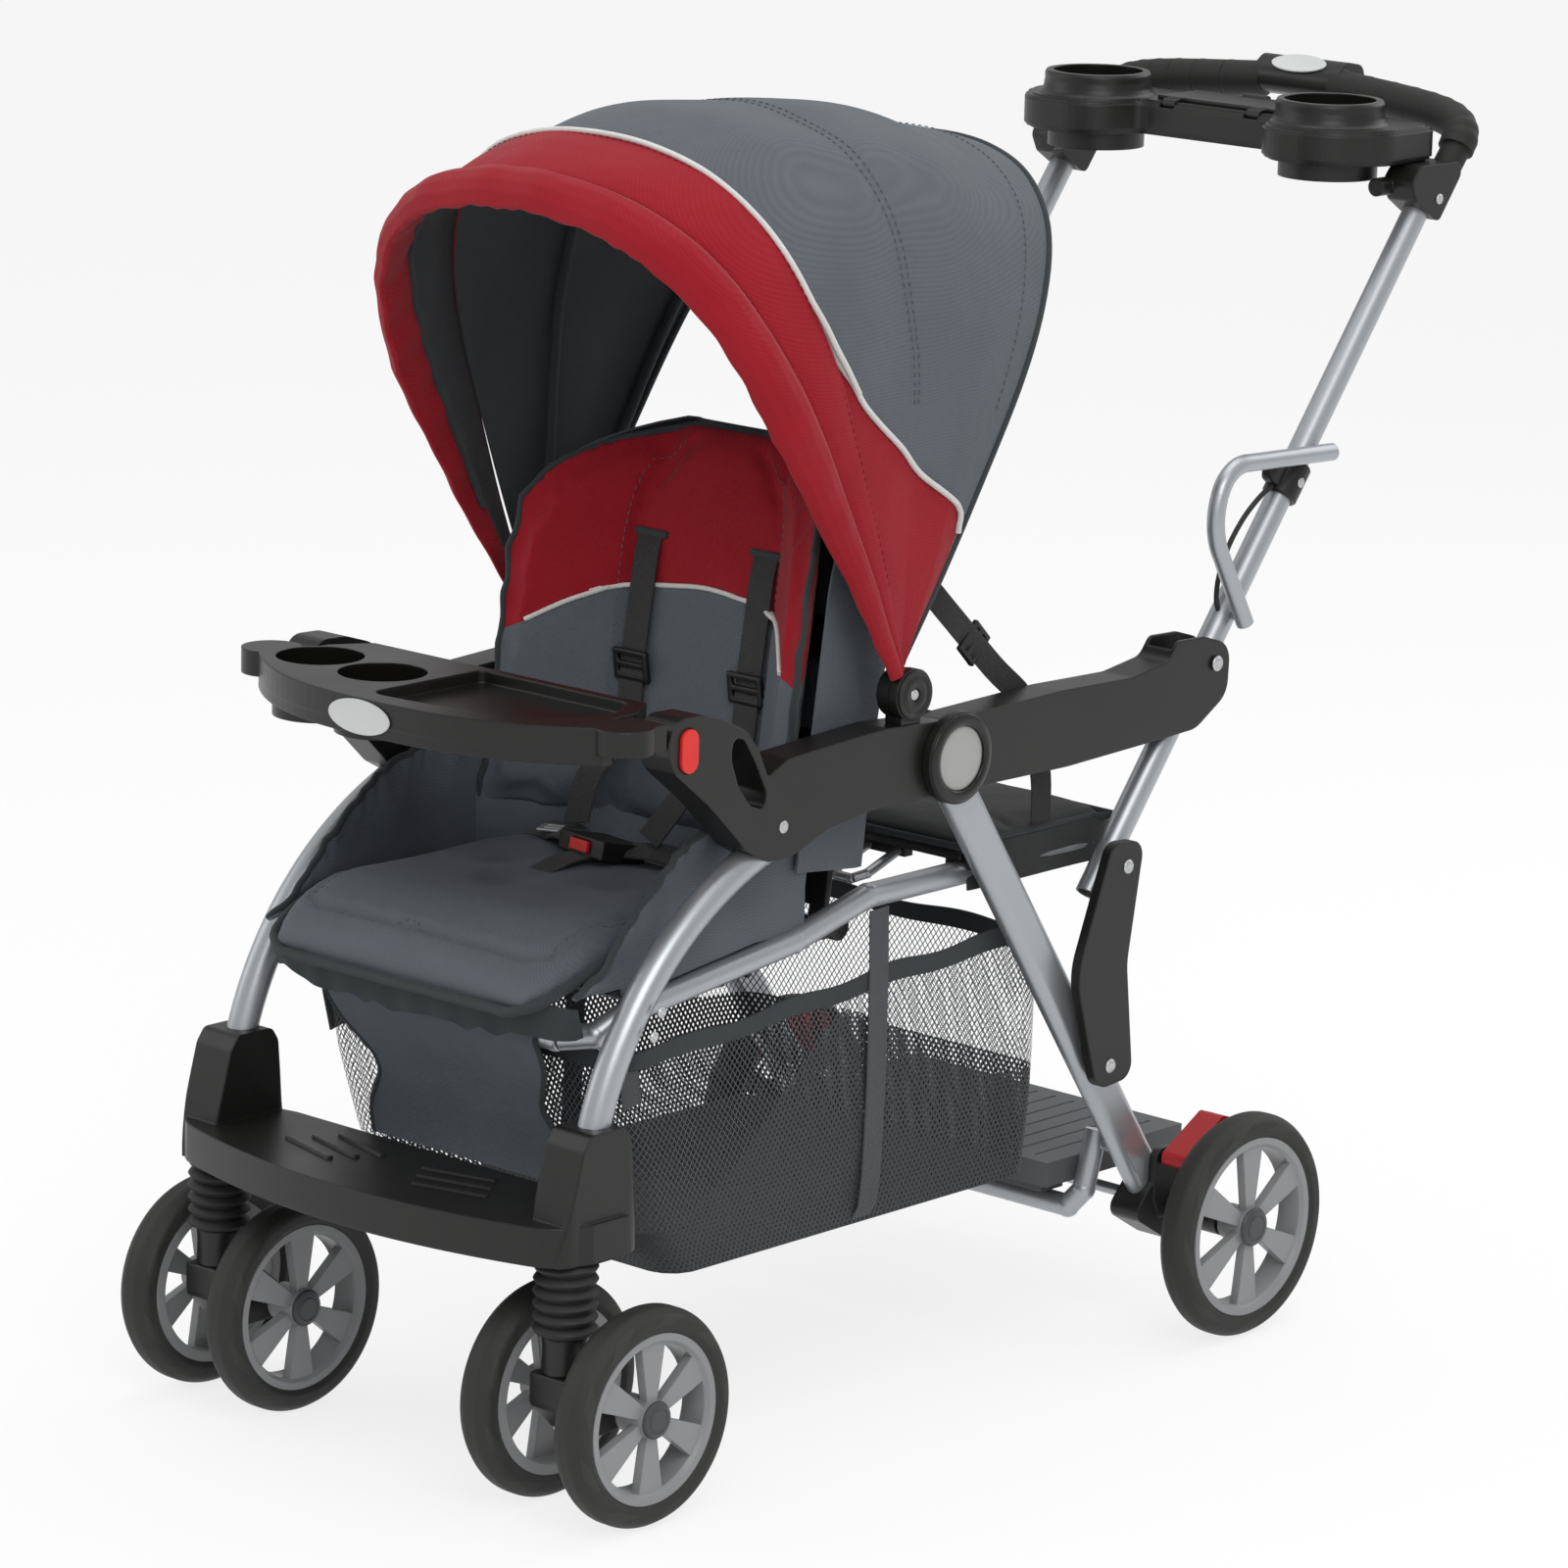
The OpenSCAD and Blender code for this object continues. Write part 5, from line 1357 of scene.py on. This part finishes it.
class STROLLER_OT_trim(bpy.types.Operator):
    """Adds rivets, screws, discs, knob caps, plaques and hub caps to the frame"""
    bl_idname = "stroller.trim"
    bl_label = "Trim"

    def execute(self, context):
        for row in heads():
            for side, s in SIDES:
                head(side, s, *row)
        for side, s in SIDES:
            for name, profile, steps, x, at, kind, slot in (
                    ("cover_disc", DISC, 64, 218.6, PIVOT_AT, "disc", "silver_plastic"),
                    ("cover_bead", BEAD, 72, 219.2, PIVOT_AT, "glossy", "black_plastic"),
                    ("knob_ring", KNOB_RING, 48, 212.0, KNOB_AT, "black", "black_plastic")):
                ring = set_at(lathe(f"{name}_{side}", profile, steps), here(s * x, *at), s < 0)
                finish_piece(ring, "front_body", kind, slot)
            head(side, s, "knob_screw", 212.0, *KNOB_AT, 4.5, 1.8, "front_body")
        for side, s in SIDES:
            for wheel, r, x, y, z, face in ((f"front_{side}_outer", 0.0150, 242 + 14.1, -707, 86.5, s),
                                            (f"front_{side}_inner", 0.0150, 142 - 14.1, -707, 86.5, -s),
                                            (f"rear_{side}", 0.0165, 258 + 13.2, 0, 95, s)):
                cap = set_at(hub_cap(f"hub_{wheel}", r), here(s * x, y, z), face < 0)
                finish_piece(cap, f"wheel_{wheel}", "hub", "black_plastic")
        for side, s in SIDES:
            self.clip(side, s)
        for name, a, b, at, tilt, body in (
                ("tray_plaque", 0.033, 0.0135, here(-9, -768.4, 596.5), 90, "child_tray"),
                ("handle_plaque", 0.029, 0.0115, here(0, 347.5, 1014.6), 32, "handle")):
            plate = oval_plate(name, a, b, 0.0016)
            plate.data.transform(Matrix.Translation(at) @ Matrix.Rotation(math.radians(tilt), 4, "X"))
            finish_piece(plate, body, "plaque", "silver_plastic")
        return {"FINISHED"}

    def clip(self, side, s):
        """The clip on the handle tube with its lug, and the release cable that leaves it."""
        lean = Matrix.Rotation(-math.asin(TUBE[0]), 4, "X")
        clip = lathe(f"tube_clip_{side}", CLIP, 40, "Z")
        lug = primitive(f"clip_lug_{side}", "cube", size=1)
        edit(lug, (bpy.ops.mesh.subdivide, {"number_cuts": 2}))
        for v in lug.data.vertices:
            taper = 0.72 if v.co.y < -0.4 else 1.0
            v.co = Vector((v.co.x * 0.013 * taper, v.co.y * 0.018 - 0.0205, v.co.z * 0.026 * taper))
        apply(lug, "BEVEL", width=0.0022, segments=3, limit_method="ANGLE")
        for piece in (clip, smooth(lug)):
            piece.data.transform(lean)
            set_at(piece, here(194 * s, *CLIP_AT))
            finish_piece(piece, "handle", "black", "black_plastic")
        head(side, s, "clip_rivet", 209.0, *CLIP_AT, 4.2, 1.6, "handle")
        way = rounded_path([here(196 * s, y, z) for y, z in CABLE], 0.004)
        cable = tube_piece(f"release_cable_{side}", way, 0.0022, "handle", "rubber", "black_rubber")


class STROLLER_OT_bellows(bpy.types.Operator):
    """Makes the ribbed rubber boots round the suspension"""
    bl_idname = "stroller.bellows"
    bl_label = "Bellows"

    def execute(self, context):
        tall, bore, root = 0.0593, 0.0132, 0.0195
        profile = [(bore, 0.0)]
        for i in range(6):
            z = 0.005 + i * 0.0099
            profile += [(root, z - 0.0046), (0.0236, z - 0.0026), (0.0252, z), (0.0236, z + 0.0026),
                        (root, z + 0.0046)]
        profile += [(root, tall), (bore, tall), (bore, 0.0)]
        for side, s in SIDES:
            boot = lathe(f"bellows_{side}", [(r, max(0.0, min(tall, z))) for r, z in profile], 48, "Z")
            set_at(boot, here(192 * s, -741, 147.3))
            smooth(boot, 70)
            finish_piece(boot, "front_body", "rubber", "black_rubber", f"boot_{side}")
            tuple(here(192 * s, -741, 206.6))
            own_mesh(boot)
        return {"FINISHED"}


def paint(node, kind, test):
    """Gives the faces that pass the test a second finish."""
    node.data.materials.append(MAT[kind])
    k = len(node.data.materials) - 1
    for p in node.data.polygons:
        if test(p.center):
            p.material_index = k


def in_wells(c, wells, radius):
    """True if a point lies inside one of the round wells, given as x and y in millimetres."""
    return any(math.hypot(c.x - x / 1000, c.y - here(0, y, 0).y) < radius for x, y in wells)


class STROLLER_OT_finishes(bpy.types.Operator):
    """Makes every finish and puts it on the frame's own parts"""
    bl_idname = "stroller.finishes"
    bl_label = "Finishes"

    def execute(self, context):
        make_finishes()
        kinds = {"tube": ("front_legs", "seat_rails", "rear_legs", "rear_axle", "handle_tubes", "grab_bars"),
                 "steel": ("pivot_pins",), "platform": ("standing_platform",), "grip": ("handle_grip",),
                 "red": ("buckle_button", "tray_button_left", "tray_button_right", "fold_button"),
                 "pedal": ("brake_left", "brake_right")}
        plain = {name: kind for kind, names in kinds.items() for name in names}
        for name, node in NODES.items():
            kind = plain.get(name, "black")
            for start in ("tyre_front", "tyre_rear", "rim"):
                if name.startswith(start):
                    kind = start
            node.data.materials.clear()
            node.data.materials.append(MAT[kind])
        paint(NODES["rear_seat"], "tube", lambda c: c.y < here(0, -275, 0).y)
        paint(NODES["child_tray"], "glossy",
              lambda c: c.z < 0.6085 and in_wells(c, ((-65, -690), (-141, -684)), 0.0353))
        paint(NODES["parent_tray"], "glossy", lambda c: in_wells(c, ((-127, 228), (127, 228)), 0.0395))
        paint(NODES["handle_grip"], "black", lambda c: abs(c.x) < 0.0465)
        return {"FINISHED"}


# stage

# the photo's camera: place in metres from the rear axle, angles in degrees, focal length in pixels
CAMERA_AT, CAMERA_TURN, CAMERA_FOCUS, PHOTO_WIDTH = (3.4506, -4.1153, 1.6610), (42.1, 13.0, 1.4), 6615.8, 1600
# area lights: place, size and power
LIGHTS = {"key": ((2.6, -2.2, 3.0), 2.4, 62), "fill": ((-3.2, -2.4, 2.2), 2.6, 26),
          "top": ((0.0, 0.4, 3.6), 2.6, 34), "back": ((0.6, 3.0, 2.4), 2.2, 22)}


class STROLLER_OT_stage(bpy.types.Operator):
    """Adds the floor, the soft studio light and the camera"""
    bl_idname = "stroller.stage"
    bl_label = "Stage"

    def execute(self, context):
        scene = context.scene
        scene.view_settings.view_transform = "Standard"
        az, el, roll = (math.radians(a) for a in CAMERA_TURN)
        right = Vector((math.cos(az), math.sin(az), 0))
        back = Vector((math.sin(az) * math.cos(el), -math.cos(az) * math.cos(el), math.sin(el)))
        up = back.cross(right)
        r2 = right * math.cos(roll) + up * math.sin(roll)
        u2 = up * math.cos(roll) - right * math.sin(roll)
        deselect()
        bpy.ops.object.camera_add()
        cam = bpy.context.active_object
        x, y, z = CAMERA_AT
        turn = Matrix((r2, u2, back)).transposed().to_4x4()
        cam.matrix_world = Matrix.Translation((x, y + Y_SHIFT, z)) @ turn
        cam.data.sensor_width = 36
        cam.data.lens = 36 * CAMERA_FOCUS / PHOTO_WIDTH
        cam.data.clip_end = 60
        scene.camera = cam

        floor = primitive("studio_floor", "plane", size=30)
        f = Finish("studio_floor", Roughness=0.9)
        self.white(f)
        floor.data.materials.append(f.mat)

        self.sky(scene)
        for name, (at, size, power) in LIGHTS.items():
            deselect()
            bpy.ops.object.light_add(type="AREA", location=at)
            lamp = bpy.context.active_object
            lamp.name = name + "_light"
            lamp.data.size = size
            lamp.data.energy = power
            lamp.rotation_euler = (Vector((0, 0, 0.5)) - Vector(at)).to_track_quat("-Z", "Y").to_euler()
        return {"FINISHED"}

    def sky(self, scene):
        """A white surround that is brighter to the camera than as a light."""
        world = bpy.data.worlds.new("studio")
        scene.world = world
        world.use_nodes = True
        tree = world.node_tree
        background = tree.nodes["Background"]
        path = tree.nodes.new("ShaderNodeLightPath")
        seen = tree.nodes.new("ShaderNodeMath")
        seen.operation = "MAXIMUM"
        tree.links.new(path.outputs["Is Camera Ray"], seen.inputs[0])
        tree.links.new(path.outputs["Is Transmission Ray"], seen.inputs[1])
        level = tree.nodes.new("ShaderNodeMapRange")
        level.inputs["To Min"].default_value = 0.62
        level.inputs["To Max"].default_value = 1.0
        tree.links.new(seen.outputs[0], level.inputs["Value"])
        background.inputs["Color"].default_value = (1, 1, 1, 1)
        tree.links.new(level.outputs[0], background.inputs["Strength"])

    def white(self, f):
        """A floor that is white to the camera and keeps the shadow for other rays."""
        path = f.node("ShaderNodeLightPath")
        diffuse = f.node("ShaderNodeBsdfDiffuse", None, {"Color": (0.92, 0.92, 0.92, 1)})
        glow = f.node("ShaderNodeEmission", None, {"Color": (1, 1, 1, 1), "Strength": 1.0})
        seen = path.out("Is Camera Ray").max(path.out("Is Glossy Ray"))
        mix = f.node("ShaderNodeMixShader", None, {0: seen * 0.80, 1: diffuse.out(), 2: glow.out()})
        out = next(n for n in f.tree.nodes if n.type == "OUTPUT_MATERIAL")
        f.tree.links.new(mix.out().socket, out.inputs["Surface"])


OPERATORS = (STROLLER_OT_stage, STROLLER_OT_finishes, STROLLER_OT_canopy, STROLLER_OT_backrest,
             STROLLER_OT_seat, STROLLER_OT_harness, STROLLER_OT_basket, STROLLER_OT_straps,
             STROLLER_OT_bellows, STROLLER_OT_trim)


class STROLLER_PT_panel(bpy.types.Panel):
    """Lists the stroller's pieces in the sidebar"""
    bl_label = "Stroller"
    bl_idname = "STROLLER_PT_panel"
    bl_space_type = "VIEW_3D"
    bl_region_type = "UI"
    bl_category = "Stroller"

    def draw(self, context):
        for group in (context.scene.stroller_sizes, context.scene.stroller_colours):
            for key in group.bl_rna.properties.keys():
                if key not in ("rna_type", "name"):
                    self.layout.prop(group, key)
        for op in OPERATORS:
            self.layout.operator(op.bl_idname)


CLASSES = (StrollerSizes, StrollerColours, *OPERATORS, STROLLER_PT_panel)


def register():
    for c in CLASSES:
        bpy.utils.register_class(c)
    bpy.types.Scene.stroller_sizes = bpy.props.PointerProperty(type=StrollerSizes)
    bpy.types.Scene.stroller_colours = bpy.props.PointerProperty(type=StrollerColours)


def unregister():
    del bpy.types.Scene.stroller_sizes
    del bpy.types.Scene.stroller_colours
    for c in reversed(CLASSES):
        bpy.utils.unregister_class(c)


def main():
    register()
    bpy.ops.stroller.stage()
    bpy.ops.stroller.finishes()
    bpy.ops.stroller.canopy()
    bpy.ops.stroller.backrest()
    bpy.ops.stroller.seat()
    bpy.ops.stroller.harness()
    bpy.ops.stroller.basket()
    bpy.ops.stroller.straps()
    bpy.ops.stroller.bellows()
    bpy.ops.stroller.trim()
    deselect()


if __name__ == "__main__":
    main()
